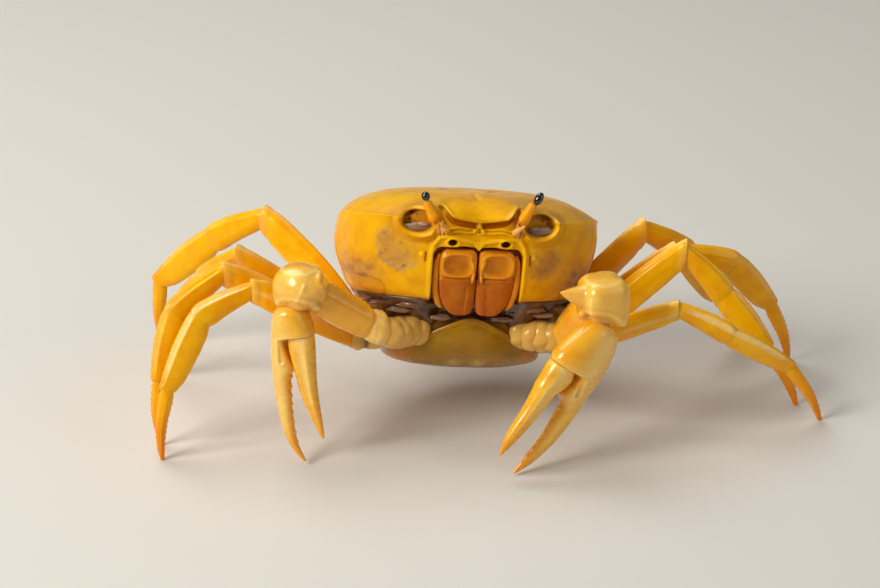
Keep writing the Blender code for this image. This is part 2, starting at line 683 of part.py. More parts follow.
def stalk_ends(side):
    """Foot and top of an eyestalk in the body's frame, and its direction."""
    foot, top = (np.array(point) * (side_sign(side), 1.0, 1.0) for point in STALKS[side])
    return foot, top, (top - foot) / np.linalg.norm(top - foot)


def stalk_solid(name, side, radius, extra, parts):
    """Eyestalk as a short tapered rod, in the body's frame, from foot to top."""
    foot, top, along = stalk_ends(side)
    foot, top = foot - along * extra, top + along * extra
    rows = [(t, radius * size, radius * size, 0.0) for t, size in ((0.0, 1.1), (0.5, 1.0), (1.0, 0.9))]
    rings = limb_rings(foot, top, np.array([1.0, 0.0, 0.0]), rows, (foot, along), (top, along), sides=10)
    points, faces = skin_rings(rings)
    return mesh_object(name, on_body(points), faces, parts)


def make_eyes(side, parts):
    stalk_solid(f"eyestalk_{side}", side, STALK_RADIUS, 0.0, parts)
    foot, top, along = stalk_ends(side)
    start, end = top + along * GAP, top + along * (GAP + EYE_HEIGHT)
    radii = ((0.0, 0.55), (0.3, 0.7), (0.6, 0.64), (0.85, 0.42), (1.0, 0.12))
    rows = [(t, radius, radius, 0.0) for t, radius in radii]
    rings = limb_rings(start, end, np.array([1.0, 0.0, 0.0]), rows, (start, along), (end, along))
    points, faces = skin_rings(rings)
    mesh_object(f"eye_{side}", on_body(points), faces, parts)


def make_feeler(side, parts):
    flip = side_sign(side)
    root = np.array(FEELER_ROOT) * (flip, 1.0, 1.0)
    tip = np.array(FEELER_TIP) * (flip, 1.0, 1.0)
    along = (tip - root) / np.linalg.norm(tip - root)
    rows = [(t, radius, radius, 0.0) for t, radius in ((0.0, 0.38), (0.35, 0.34), (0.7, 0.25), (1.0, 0.12))]
    rings = limb_rings(root, tip, np.array([0.0, 0.0, 1.0]), rows, (root, along), (tip, along), sides=8)
    points, faces = skin_rings(rings)
    mesh_object(f"antenna_{side}", on_body(points), faces, parts)


def make_mouth_plate(side, parts):
    """Third maxilliped: a long plate that closes one half of the mouth."""
    flip = side_sign(side)
    (y1, z1), (y0, z0) = MOUTH_TOP, MOUTH_FOOT
    middle_x = flip * (MOUTH_HALF_WIDTH / 2 + GAP / 4)
    half = MOUTH_HALF_WIDTH / 2 - GAP / 4
    top, foot = np.array([middle_x, y1, z1]), np.array([middle_x, y0, z0])
    along = (foot - top) / np.linalg.norm(foot - top)
    thin = PLATE_HALF_THICKNESS
    rows = ((0.0, 0.86 * half, 0.8 * thin, 0.0), (0.08, half, thin, 0.0), (0.4, half, thin, 0.0),
            (0.46, 0.97 * half, 0.85 * thin, 0.0), (0.55, half, thin, 0.0),
            (0.92, 0.94 * half, thin, 0.0), (1.0, 0.8 * half, 0.8 * thin, 0.0))
    across = np.cross(along, (1.0, 0.0, 0.0))
    rings = limb_rings(top, foot, across, rows, (top, along), (foot, along), sides=14)
    points, faces = skin_rings(rings)
    mesh_object(f"maxilliped_{side}", on_body(points), faces, parts)


def pleon_solid(name, grow, parts):
    """Folded tail plate: a dome below its rim, and a shallow inner face above it."""
    rim = whole_outline(PLEON_RIM, 2)
    centre = np.array(PLEON_CENTRE)
    out = rim[:, :2] - centre
    out = out * (1.0 + grow / np.linalg.norm(out, axis=1))[:, None]
    rings = []
    for reach in (0.3, 0.6, 0.85):
        low = rim[:, 2] + (PLEON_LOWEST - rim[:, 2]) * (1.0 - reach ** 2.6) ** (1.0 / 2.2)
        rings.append(np.column_stack([centre + out * reach, low - grow]))
    rings.append(np.column_stack([centre + out, rim[:, 2] - grow]))
    rings.append(np.column_stack([centre + out, rim[:, 2] + PLEON_RIM_THICKNESS + grow]))
    for reach in (0.8, 0.5, 0.2):
        edge = rim[:, 2] + PLEON_RIM_THICKNESS
        high = edge + (PLEON_INNER_MIDDLE - edge) * (1.0 - reach ** 2)
        rings.append(np.column_stack([centre + out * reach, high + grow]))
    points, faces = skin_rings(rings)
    points[-2, 2] = PLEON_LOWEST - grow
    return mesh_object(name, on_body(points), faces, parts)


def make_sternum(parts, stubs):
    """Breast plate with the short hip pieces of all ten limbs, hollowed for the tail plate."""
    middle = (STERNUM_FRONT + STERNUM_BACK) / 2
    half_length = (STERNUM_BACK - STERNUM_FRONT) / 2
    top = SHELL_BOTTOM - GAP * 1.5
    rings = []
    steps = ((top, 0.93), (top - 0.5, 1.0), (STERNUM_BOTTOM + 1.0, 0.98), (STERNUM_BOTTOM, 0.86))
    for level, scale in steps:
        ring = section(half_length * scale, STERNUM_HALF_WIDTH * scale, 24, 3.0)
        rings.append(np.column_stack([ring[:, 1], middle + ring[:, 0], np.full(24, level)]))
    points, faces = skin_rings(rings)
    sternum = mesh_object("sternum", on_body(points), faces, parts)
    fuse(sternum, stubs)
    cut(sternum, [pleon_solid("pleon_clearance", GAP * 1.6, parts)])
    return sternum


def finish_name(name):
    """Which of the crab's colours a piece has."""
    if name in ("sternum", "abdomen"):
        return "under"
    starts = {"leg_": "leg", "cheliped_": "claw", "maxilliped": "mouth", "eyestalk": "stalk",
              "antenna": "stalk", "eye_": "eye"}
    for start, kind in starts.items():
        if name.startswith(start):
            return kind
    return "shell"


def paint(parts):
    """Give each piece its own material."""
    for item in parts.objects:
        kind = finish_name(item.name)
        roughness = 0.12 if kind == "eye" else 0.38
        item.data.materials.clear()
        item.data.materials.append(make_material(item.name, COLOURS[kind], roughness))


def centre_on_floor(parts):
    """Shift everything so that the origin is under the middle of the whole box."""
    low, high = Vector((1e9,) * 3), Vector((-1e9,) * 3)
    for item in parts.objects:
        for vertex in item.data.vertices:
            for axis in range(3):
                low[axis] = min(low[axis], vertex.co[axis])
                high[axis] = max(high[axis], vertex.co[axis])
    shift = Vector((-(low[0] + high[0]) / 2, -(low[1] + high[1]) / 2, -low[2]))
    for item in parts.objects:
        item.data.transform(Matrix.Translation(shift))


def main():
    clear_scene()
    parts = make_collection(PART_NAME)
    stubs = []
    for side in ("left", "right"):
        for number in LEG_ROOTS:
            make_leg(side, number, parts, stubs)
        make_claw_arm(side, parts, stubs)
        make_eyes(side, parts)
        make_feeler(side, parts)
        make_mouth_plate(side, parts)
    make_carapace(parts)
    pleon_solid("abdomen", 0.0, parts)
    make_sternum(parts, stubs)
    paint(parts)
    centre_on_floor(parts)


main()
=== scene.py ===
import math

import bpy
import numpy as np
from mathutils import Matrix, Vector


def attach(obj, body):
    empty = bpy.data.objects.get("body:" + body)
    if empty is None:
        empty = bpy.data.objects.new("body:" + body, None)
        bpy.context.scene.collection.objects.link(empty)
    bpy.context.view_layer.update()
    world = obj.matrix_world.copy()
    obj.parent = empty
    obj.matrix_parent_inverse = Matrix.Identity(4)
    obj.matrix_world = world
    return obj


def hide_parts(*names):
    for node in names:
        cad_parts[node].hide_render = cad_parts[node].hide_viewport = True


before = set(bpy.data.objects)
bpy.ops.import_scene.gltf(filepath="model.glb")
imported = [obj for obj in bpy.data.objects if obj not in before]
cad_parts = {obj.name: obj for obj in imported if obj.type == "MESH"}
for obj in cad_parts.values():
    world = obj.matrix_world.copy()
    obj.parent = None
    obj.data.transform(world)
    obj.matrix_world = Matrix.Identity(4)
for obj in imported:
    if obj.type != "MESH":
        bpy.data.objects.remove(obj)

bl_info = {
    "name": "Terrathelphusa crab",
    "version": (1, 0, 0),
    "blender": (4, 5, 0),
    "location": "View3D > Sidebar > Crab",
    "description": "Shell, limbs, face and studio of a small orange land crab",
    "category": "Add Mesh",
}

# Sizes are in millimetres, in the crab's stance with the floor at z = 0, or in the body's own
# frame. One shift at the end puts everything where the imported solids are.
MM = 0.001
SEAM = 0.06                # between two segments, closer than the solids' gap

# Where the body's own frame stands, and how far it is pitched, rolled and turned, in degrees
BODY_MIDDLE = (-0.56, 0.0, 18.8)
HEAD_UP = 18.0
LEFT_DOWN = 5.3
TURNED = -3.5

# Shell in the body's frame: its heights, the shape of its wall and dome, and the left half of
# its outline seen from above
SHELL_TOP = 11.8
SHELL_BOTTOM = -2.3
CREST_FRONT = 8.7
CREST_SIDE = 6.0
CREST_BACK = 3.6
WALL_TUCK = 0.12
WALL_BULGE = 0.015
MARGIN_ROLL = 0.035
DOME_POWER = 3.8
DOME_ROUND = 0.55
SHELL_CENTRE = (0.0, 0.6)
SHELL_OUTLINE = (
    (0.0, -12.9), (3.4, -13.4), (5.8, -13.0), (8.6, -12.4), (11.6, -10.9), (14.8, -8.2),
    (17.0, -4.4), (17.7, 0.2), (17.1, 5.0), (14.8, 9.6), (10.6, 12.8), (5.4, 14.2), (0.0, 14.5),
)

# Foot and top of each eyestalk, drawn for the left side, then y and z of the mouth's two ends
STALKS = {
    "right": ((6.1, -12.9, 8.6), (7.1, -13.0, 10.6)),
    "left": ((5.5, -12.9, 8.6), (6.8, -13.0, 10.9)),
}
MOUTH_TOP = (-12.4, 4.4)
MOUTH_FOOT = (-10.4, -3.8)

# Folded tail plate: its lowest point, the middle of its rim from above, how high its inner face
# rises, how thick its edge is, and the left half of its rim
PLEON_LOWEST = -12.3
PLEON_CENTRE = (0.0, 1.2)
PLEON_INNER_MIDDLE = -9.0
PLEON_THICKNESS = 0.7
PLEON_RIM = (
    (0.0, -9.4, -5.3), (3.4, -8.9, -6.5), (7.0, -7.0, -8.5), (10.0, -3.4, -9.9), (10.9, 1.2, -10.2),
    (10.3, 5.8, -9.4), (8.6, 9.6, -7.8), (5.0, 12.2, -6.6), (0.0, 12.9, -6.2),
)

# First joint and lengths of the four segments of each walking leg, 1 at the front
LEG_ROOTS = {1: (15.4, -4.8, -8.2), 2: (15.9, -0.4, -8.4), 3: (15.4, 4.0, -7.8), 4: (13.8, 8.0, -6.8)}
LEG_LENGTHS = {1: (15.4, 7.6, 10.6, 10.2), 2: (19.4, 8.2, 9.6, 9.6), 3: (19.0, 9.0, 11.0, 10.4),
               4: (18.8, 9.0, 11.4, 10.6)}
# Turn and lift of merus, carpus and propodus in degrees, then the dactyl's turn
POSE = {
    ("right", 1): ((-2, 31), (-15, -19), (-18, -61), -19),
    ("right", 2): ((-4, 33), (-22, -29), (-10, -74), -8),
    ("right", 3): ((-7, 40), (54, -38), (58, -47), 56),
    ("right", 4): ((41, 37), (28, -28), (28, -42), 28),
    ("left", 1): ((-27, 27), (-14, -27), (5, -33), 8),
    ("left", 2): ((-3, 40), (-13, -48), (-21, -50), -18),
    ("left", 3): ((-7, 39), (9, -18), (23, -48), 18),
    ("left", 4): ((-10, 48), (20, -35), (34, -50), 40),
}
LEG_PARTS = ("merus", "carpus", "propodus", "dactyl")
# Inner end of a leg's hip: x, share of the first joint's y, and z
COXA_START = (8.2, 0.92, -6.7)


# What a user would change

def linear(hex_colour):
    """sRGB hex to linear RGBA."""
    values = [int(hex_colour[i:i + 2], 16) / 255.0 for i in (1, 3, 5)]
    return (*[v / 12.92 if v <= 0.04045 else ((v + 0.055) / 1.055) ** 2.4 for v in values], 1.0)


class CrabColours(bpy.types.PropertyGroup):
    """Colours of the crab"""
    shell: bpy.props.FloatVectorProperty(
        name="Shell", description="Colour of the carapace", subtype="COLOR", size=4, min=0.0, max=1.0,
        default=linear("#F4B206"))
    legs: bpy.props.FloatVectorProperty(
        name="Legs", description="Colour of the walking legs", subtype="COLOR", size=4, min=0.0, max=1.0,
        default=linear("#FDBC02"))
    claws: bpy.props.FloatVectorProperty(
        name="Claws", description="Colour of the claw arms", subtype="COLOR", size=4, min=0.0, max=1.0,
        default=linear("#F8BA2C"))
    mouth: bpy.props.FloatVectorProperty(
        name="Mouth", description="Colour of the mouth plates", subtype="COLOR", size=4, min=0.0, max=1.0,
        default=linear("#DE8A10"))
    under: bpy.props.FloatVectorProperty(
        name="Under side", description="Colour of the tail plate and breast plate", subtype="COLOR", size=4,
        min=0.0, max=1.0, default=linear("#A4760C"))
    stalks: bpy.props.FloatVectorProperty(
        name="Eyestalks", description="Colour of the eyestalks and feelers", subtype="COLOR", size=4,
        min=0.0, max=1.0, default=linear("#F6A60A"))
    soft: bpy.props.FloatVectorProperty(
        name="Soft skin", description="Colour of the wet skin between hard parts", subtype="COLOR", size=4,
        min=0.0, max=1.0, default=linear("#7A4A22"))
    floor: bpy.props.FloatVectorProperty(
        name="Floor", description="Colour of the studio floor", subtype="COLOR", size=4, min=0.0, max=1.0,
        default=linear("#D9D6D0"))


class CrabSizes(bpy.types.PropertyGroup):
    """Sizes of the crab's fine relief, and its wetness"""
    leg_grain: bpy.props.FloatProperty(
        name="Leg grain", description="How far the grains on the legs' ridges stand out", unit="LENGTH",
        default=0.07 * MM, min=0.0, max=0.3 * MM, precision=5)
    claw_teeth: bpy.props.FloatProperty(
        name="Claw teeth", description="Height of the blunt teeth along the claws' fingers", unit="LENGTH",
        default=0.22 * MM, min=0.0, max=0.4 * MM, precision=5)
    face_relief: bpy.props.FloatProperty(
        name="Face relief", description="Depth of the face's marks, 1 as in the photo", subtype="FACTOR",
        default=1.0, min=0.5, max=1.2)
    wetness: bpy.props.FloatProperty(
        name="Wetness", description="Strength of the film of water on the crab", subtype="FACTOR",
        default=0.5, min=0.0, max=1.0)
    key_power: bpy.props.FloatProperty(
        name="Key light", description="Power of the main studio light", unit="POWER", default=2.2,
        min=0.0, max=20.0)


# Curves and placing

def smooth(low, high, x):
    """Soft step from 0 at low to 1 at high: 3 t^2 - 2 t^3."""
    t = np.clip((np.asarray(x, float) - low) / (high - low), 0.0, 1.0)
    return t * t * (3.0 - 2.0 * t)


def bell(x, width):
    """Bump of height 1 at x = 0: exp(-(x / width)^2)."""
    return np.exp(-(np.asarray(x, float) / width) ** 2)


def curve(table, t):
    """Values of a table (t, value, ...) joined by cubics whose slopes run across both neighbours."""
    table = np.asarray(table, float)
    x, y = table[:, 0], table[:, 1:]
    slopes = np.empty_like(y)
    slopes[1:-1] = (y[2:] - y[:-2]) / (x[2:] - x[:-2])[:, None]
    slopes[0] = (y[1] - y[0]) / (x[1] - x[0])
    slopes[-1] = (y[-1] - y[-2]) / (x[-1] - x[-2])
    t = np.clip(np.asarray(t, float), x[0], x[-1])
    i = np.clip(np.searchsorted(x, t, side="right") - 1, 0, len(x) - 2)
    h = x[i + 1] - x[i]
    u = ((t - x[i]) / h)[..., None]
    h = h[..., None]
    return ((2 * u ** 3 - 3 * u ** 2 + 1) * y[i] + (u ** 3 - 2 * u ** 2 + u) * h * slopes[i]
            + (-2 * u ** 3 + 3 * u ** 2) * y[i + 1] + (u ** 3 - u ** 2) * h * slopes[i + 1])


def loop_curve(points, w):
    """Closed Catmull-Rom curve through points at parameters w, counted in points."""
    points = np.asarray(points, float)
    n = len(points)
    i = np.floor(w).astype(int)
    t = (w - i)[:, None]
    a, b, c, d = (points[(i + k) % n] for k in (-1, 0, 1, 2))
    return 0.5 * (2 * b + (c - a) * t + (2 * a - 5 * b + 4 * c - d) * t ** 2
                  + (3 * b - a - 3 * c + d) * t ** 3)


def whole_loop(half):
    """Points of a closed outline, from the left half's points."""
    half = np.asarray(half, float)
    other = half[-2:0:-1].copy()
    other[:, 0] *= -1.0
    return np.vstack([half, other])


def line_distance(x, y, points):
    """Distance of (x, y) from a line through the points: the least over its straight stretches."""
    best = np.full(np.shape(x), 1e9)
    for (x0, y0), (x1, y1) in zip(points, points[1:]):
        dx, dy = x1 - x0, y1 - y0
        t = np.clip(((x - x0) * dx + (y - y0) * dy) / (dx * dx + dy * dy), 0.0, 1.0)
        best = np.minimum(best, np.hypot(x - x0 - t * dx, y - y0 - t * dy))
    return best


def raised(plan, height):
    """Points seen from above, each put at its height."""
    return np.concatenate([plan, np.broadcast_to(height, plan.shape[:-1])[..., None]], -1)


def unit(v):
    """Vectors of length 1: v / |v|."""
    v = np.asarray(v, float)
    return v / np.linalg.norm(v, axis=-1, keepdims=True)


def body_rotation():
    """Body frame to stance frame: pitched by HEAD_UP, rolled by LEFT_DOWN, then turned."""
    p, r, t = (math.radians(a) for a in (-HEAD_UP, LEFT_DOWN, TURNED))
    pitch = np.array([[1, 0, 0], [0, math.cos(p), -math.sin(p)], [0, math.sin(p), math.cos(p)]])
    roll = np.array([[math.cos(r), 0, math.sin(r)], [0, 1, 0], [-math.sin(r), 0, math.cos(r)]])
    turn = np.array([[math.cos(t), -math.sin(t), 0], [math.sin(t), math.cos(t), 0], [0, 0, 1]])
    return turn @ roll @ pitch


BODY = body_rotation()


def on_body(points):
    """Points of the body's frame in the stance."""
    return np.asarray(points, float) @ BODY.T + BODY_MIDDLE


def side_sign(side):
    """1 for the left side, which is the one that is drawn, and -1 for the right side."""
    return 1.0 if side == "left" else -1.0


def flipped(points, side):
    """Points drawn for the left side, on the side that is asked for."""
    return np.asarray(points, float) * (side_sign(side), 1.0, 1.0)


def heading(side, turn, lift):
    """Unit vector out to the side, turned towards the back and lifted, both in degrees."""
    turn, lift = math.radians(turn), math.radians(lift)
    return np.array([side_sign(side) * math.cos(turn) * math.cos(lift),
                     math.sin(turn) * math.cos(lift), math.sin(lift)])


def leg_points(side, number):
    """Joints of a leg from inside the breast plate to the tip on the floor."""
    root = np.array(LEG_ROOTS[number])
    inner = np.array([COXA_START[0], root[1] * COXA_START[1], COXA_START[2]])
    points = [on_body(flipped(inner, side)), on_body(flipped(root, side))]
    *bends, last_turn = POSE[side, number]
    lengths = LEG_LENGTHS[number]
    for (turn, lift), length in zip(bends, lengths):
        points.append(points[-1] + length * heading(side, turn, lift))
    drop = math.degrees(math.asin(min(1.0, points[-1][2] / lengths[3])))
    points.append(points[-1] + lengths[3] * heading(side, last_turn, -drop))
    points[-1][2] = 0.0
    return points


def frame_shift():
    """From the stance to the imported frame: each foot's flat is centred on its leg's tip."""
    shifts = []
    for side, number in POSE:
        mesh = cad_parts[f"leg_{side}_{number}_dactyl"].data
        co = np.empty(len(mesh.vertices) * 3)
        mesh.vertices.foreach_get("co", co)
        co = co.reshape(-1, 3) / MM
        flat = co[co[:, 2] < co[:, 2].min() + 0.01]
        shifts.append((flat.min(0) + flat.max(0)) / 2 - leg_points(side, number)[-1])
    return np.mean(shifts, 0) * (1.0, 1.0, 0.0)


SHIFT = frame_shift()


# Meshes

class Sheet:
    """Points, faces and paint that are gathered for one piece.

    paint has four values a point: pale, dark, rust and membrane, each from 0 to 1. Pale also
    carries painted highlights, and rust some painted shade.
    """

    def __init__(self):
        self.points, self.paint, self.quads, self.tris, self.count = [], [], [], [], 0

    def tube(self, rings, paint=None):
        """Closed skin of rings (rows, sides, 3): quads between rings, and a fan to a pole at each end."""
        rows, sides = rings.shape[:2]
        if paint is None:
            paint = np.zeros((rows, sides, 4))
        points = np.vstack([rings.reshape(-1, 3), rings[:1].mean(1), rings[-1:].mean(1)])
        colour = np.vstack([paint.reshape(-1, 4), paint[:1].mean(1), paint[-1:].mean(1)])
        i, j = np.meshgrid(np.arange(rows - 1), np.arange(sides), indexing="ij")
        k = (j + 1) % sides
        quads = np.stack([i * sides + j, i * sides + k, (i + 1) * sides + k, (i + 1) * sides + j], -1)
        quads = quads.reshape(-1, 4)
        j = np.arange(sides)
        k = (j + 1) % sides
        first, last, base = rows * sides, rows * sides + 1, (rows - 1) * sides
        tris = np.vstack([np.stack([np.full(sides, first), k, j], -1),
                          np.stack([np.full(sides, last), base + j, base + k], -1)])
        # The signed volume says which way the faces point
        middle = points.mean(0)
        a, b, c, d = (points[quads[:, n]] - middle for n in range(4))
        volume = (a * np.cross(b, c)).sum() + (a * np.cross(c, d)).sum()
        if volume < 0:
            quads, tris = quads[:, ::-1], tris[:, ::-1]
        self.points.append(points)
        self.paint.append(colour)
        self.quads.append(quads + self.count)
        self.tris.append(tris + self.count)
        self.count += len(points)

    def piece(self, name, material, slot, *nodes):
        """Make the mesh object, which rides on the crab, in place of the CAD nodes."""
        points = (np.vstack(self.points) + SHIFT) * MM
        paint = np.clip(np.vstack(self.paint), 0.0, 1.0)
        quads, tris = np.vstack(self.quads), np.vstack(self.tris)
        mesh = bpy.data.meshes.new(name)
        mesh.vertices.add(len(points))
        mesh.vertices.foreach_set("co", points.ravel())
        mesh.loops.add(quads.size + tris.size)
        corners = np.concatenate([quads.ravel(), tris.ravel()])
        mesh.loops.foreach_set("vertex_index", corners.astype(np.int32))
        mesh.polygons.add(len(quads) + len(tris))
        starts = np.concatenate([np.arange(len(quads)) * 4, quads.size + np.arange(len(tris)) * 3])
        mesh.polygons.foreach_set("loop_start", starts.astype(np.int32))
        mesh.update(calc_edges=True)
        if mesh.validate():
            raise RuntimeError(f"{name} had faces that are not valid")
        layer = mesh.attributes.new("paint", "FLOAT_COLOR", "POINT")
        layer.data.foreach_set("color", paint.astype(np.float32).ravel())
        mesh.shade_smooth()
        mesh.materials.append(material)
        item = bpy.data.objects.new(name, mesh)
        bpy.context.scene.collection.objects.link(item)
        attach(item, "root")
        if nodes:
            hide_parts(*nodes)


def make_piece(name, material, slot, node, grid, paint=None):
    """A piece that is one closed skin, in place of one CAD node."""
    sheet = Sheet()
    sheet.tube(grid, paint)
    sheet.piece(name, material, slot, node)


def ring_angles(sides):
    """Angles of the points of a ring, evenly round from 0."""
    return np.linspace(0.0, 2.0 * math.pi, sides, endpoint=False)


def wrap(angle):
    """Angle between -pi and pi."""
    return (np.asarray(angle) + math.pi) % (2.0 * math.pi) - math.pi


def superellipse(a, squareness):
    """Signed |cos a|^p and |sin a|^p with p = 2 / squareness: round at 2, boxier above."""
    power = 2.0 / squareness
    cos, sin = np.cos(a), np.sin(a)
    return np.sign(cos) * np.abs(cos) ** power, np.sign(sin) * np.abs(sin) ** power


# Ends of a limb segment, in rows of the end ring's scale and how far the ring is moved out: a
# socket with a raised lip, a neck that reaches into it, and a blunt end. Rings drawn in as far as
# the last two numbers say, or farther, are soft joint skin.
SOCKET = ((0.985, 0.10), (0.94, 0.16), (0.87, 0.13), (0.80, 0.0), (0.76, -0.3), (0.6, -0.45),
          (0.25, -0.48))
NECK = ((0.98, 0.07), (0.93, 0.12), (0.85, 0.15), (0.79, 0.22), (0.76, 0.5), (0.66, 0.68), (0.3, 0.72))
BLUNT = ((0.97, 0.10), (0.88, 0.2), (0.7, 0.3), (0.4, 0.36), (0.15, 0.38))
START_SKIN = 0.86
END_SKIN = 0.82


def with_caps(rings, paint, first, last):
    """Add end rings: each is the end ring drawn in towards its middle and moved out along the limb."""
    def cap(ring, colour, out, rows, skin_from):
        """The end rings that rows describe, moved along out, and their paint."""
        scale, depth = np.array(rows).T[..., None, None]
        tints = np.repeat(colour[None], len(rows), 0)
        tints[scale[:, 0, 0] <= skin_from, :, 3] = 1.0
        middle = ring.mean(0)
        return middle + (ring - middle) * scale + out * depth, tints

    axis = unit(rings[-1].mean(0) - rings[0].mean(0))
    if first is not None:
        more, tints = cap(rings[0], paint[0], -axis, first, START_SKIN)
        rings = np.concatenate([more[::-1], rings])
        paint = np.concatenate([tints[::-1], paint])
    if last is not None:
        more, tints = cap(rings[-1], paint[-1], axis, last, END_SKIN)
        rings = np.concatenate([rings, more])
        paint = np.concatenate([paint, tints])
    return rings, paint


def limb_grid(start, end, across, rows, start_plane, end_plane, relief, steps, sides, squareness=2.3):
    """Grid of a limb segment: a superellipse section carried from one end plane to the other.

    Point = middle line + (half depth cos^p(a) + rise) up + (half thickness sin^p(a)) across, with
    p = 2 / squareness, pushed away from the middle by relief(t, a, length), and slid along
    the limb so that each lengthwise line runs straight between the planes.
    rows hold t, half depth, half thickness and rise.
    """
    start, end = np.asarray(start, float), np.asarray(end, float)
    length = np.linalg.norm(end - start)
    along = (end - start) / length
    across = unit(across - along * (across @ along))
    up = np.cross(along, across)
    if up[2] < -0.2:
        up = -up
    t = np.linspace(0.0, 1.0, steps)
    a = ring_angles(sides)
    depth, thick, rise = (c[:, None] for c in curve(rows, t).T)
    cos, sin = superellipse(a, squareness)
    off_up, off_across = depth * cos, thick * sin
    reach = np.hypot(off_up, off_across)
    swell = 1.0 + relief(t[:, None], wrap(a)[None, :], length) / np.maximum(reach, 0.2)
    offset = (off_up * swell + rise)[..., None] * up + (off_across * swell)[..., None] * across

    def slide(plane, ring):
        """How far along the limb each point of an end ring has to go to lie in the plane."""
        point, normal = plane
        return ((point - start - ring) @ normal) / (along @ normal)

    first, last = slide(start_plane, offset[0]), slide(end_plane, offset[-1])
    distance = first * (1.0 - t[:, None]) + last * t[:, None]
    return start + distance[..., None] * along + offset, t, a


def joint_planes(points):
    """For each inner joint of a chain, the end plane before it and the start plane after it."""
    ends, starts = {}, {}
    for i in range(1, len(points) - 1):
        normal = unit(unit(points[i] - points[i - 1]) + unit(points[i + 1] - points[i]))
        ends[i] = (points[i] - normal * SEAM / 2, normal)
        starts[i] = (points[i] + normal * SEAM / 2, normal)
    return ends, starts


# Materials

# Sizes in millimetres of the shell's clouds, specks and pits, and of an eye's facets. Real pits
# and facets are finer, and are drawn as coarse as they need to be to show.
CLOUD_SIZE = 2.5
SPECK_SIZE = 0.8
PIT_SIZE = 0.35
FACET_SIZE = 0.06
CHITIN_IOR = 1.54
WATER_IOR = 1.33


def fill(tree, node, inputs):
    """Set a node's inputs. Each is a number or colour, or another node's output."""
    for socket, source in inputs.items():
        if hasattr(source, "is_output"):
            tree.links.new(source, node.inputs[socket])
        else:
            node.inputs[socket].default_value = source


def add(tree, kind, inputs=None, **settings):
    """Add a node with its settings and its inputs."""
    node = tree.nodes.new(kind)
    for name, value in settings.items():
        setattr(node, name, value)
    fill(tree, node, inputs or {})
    return node


def chitin(name, base, look, wetness):
    """Wet crab shell: chitin with a thin film of water.

    Light enters the horny layer and comes out yellow, so it is a little translucent and its
    broad gloss is tinted, and the wet film gives small white highlights over that. The base
    colour has deeper clouds all over. Pale shows on edges and worn ridges, and also as painted
    highlights and sheen on some faces; dark is a wash with specks; rust lies on tips and in
    hollows, and also as painted shade in some grooves and on the side away from the key light;
    and membrane is the soft skin at the joints.
    """
    material = bpy.data.materials.new(name)
    material.use_nodes = True
    tree = material.node_tree
    shader = tree.nodes["Principled BSDF"]
    where = add(tree, "ShaderNodeTexCoord").outputs["Object"]
    paint = add(tree, "ShaderNodeAttribute", attribute_name="paint")
    split = add(tree, "ShaderNodeSeparateColor", {0: paint.outputs["Color"]})
    soft = add(tree, "ShaderNodeTexNoise",
               {"Vector": where, "Scale": 1.0 / (CLOUD_SIZE * MM), "Detail": 3.0, "Roughness": 0.55})
    fine = add(tree, "ShaderNodeTexNoise",
               {"Vector": where, "Scale": 1.0 / (SPECK_SIZE * MM), "Detail": 5.0, "Roughness": 0.65})
    pits = add(tree, "ShaderNodeTexNoise",
               {"Vector": where, "Scale": 1.0 / (PIT_SIZE * MM), "Detail": 2.0})
    mottle = add(tree, "ShaderNodeMapRange", {0: soft.outputs["Fac"], 1: 0.42, 2: 0.68}, clamp=True)
    specks = add(tree, "ShaderNodeMapRange", {0: fine.outputs["Fac"], 1: 0.52, 2: 0.66}, clamp=True)
    wash = add(tree, "ShaderNodeMath", {0: split.outputs[1], 1: 0.8}, operation="MULTIPLY")
    speck_amount = add(tree, "ShaderNodeMath", {0: specks.outputs[0], 1: split.outputs[1]},
                       operation="MULTIPLY")
    colour = base
    for amount, tint in ((mottle.outputs[0], "deep"), (split.outputs[0], "pale"),
                         (split.outputs[2], "rust"), (wash.outputs[0], "wash"),
                         (speck_amount.outputs[0], "speck"), (paint.outputs["Alpha"], "membrane")):
        colour = add(tree, "ShaderNodeMix", {0: amount, 6: colour, 7: linear(look[tint])},
                     data_type="RGBA").outputs[2]
    rough = add(tree, "ShaderNodeMapRange",
                {0: fine.outputs["Fac"], 1: 0.3, 2: 0.7, 3: look["rough"] - 0.07, 4: look["rough"] + 0.1},
                clamp=True)
    bump = add(tree, "ShaderNodeBump",
               {"Height": pits.outputs["Fac"], "Strength": 0.35, "Distance": 0.05 * MM})
    # Red light goes deepest into chitin and blue hardly at all
    fill(tree, shader, {
        "Base Color": colour, "Roughness": rough.outputs[0], "Normal": bump.outputs[0],
        "IOR": CHITIN_IOR, "Specular Tint": linear(look["gloss"]),
        "Subsurface Weight": look["translucent"], "Subsurface Radius": (1.0, 0.6, 0.1),
        "Subsurface Scale": 0.8 * MM, "Coat Weight": min(1.0, look["film"] * wetness),
        "Coat Roughness": look["film_rough"], "Coat IOR": WATER_IOR,
    })
    return material


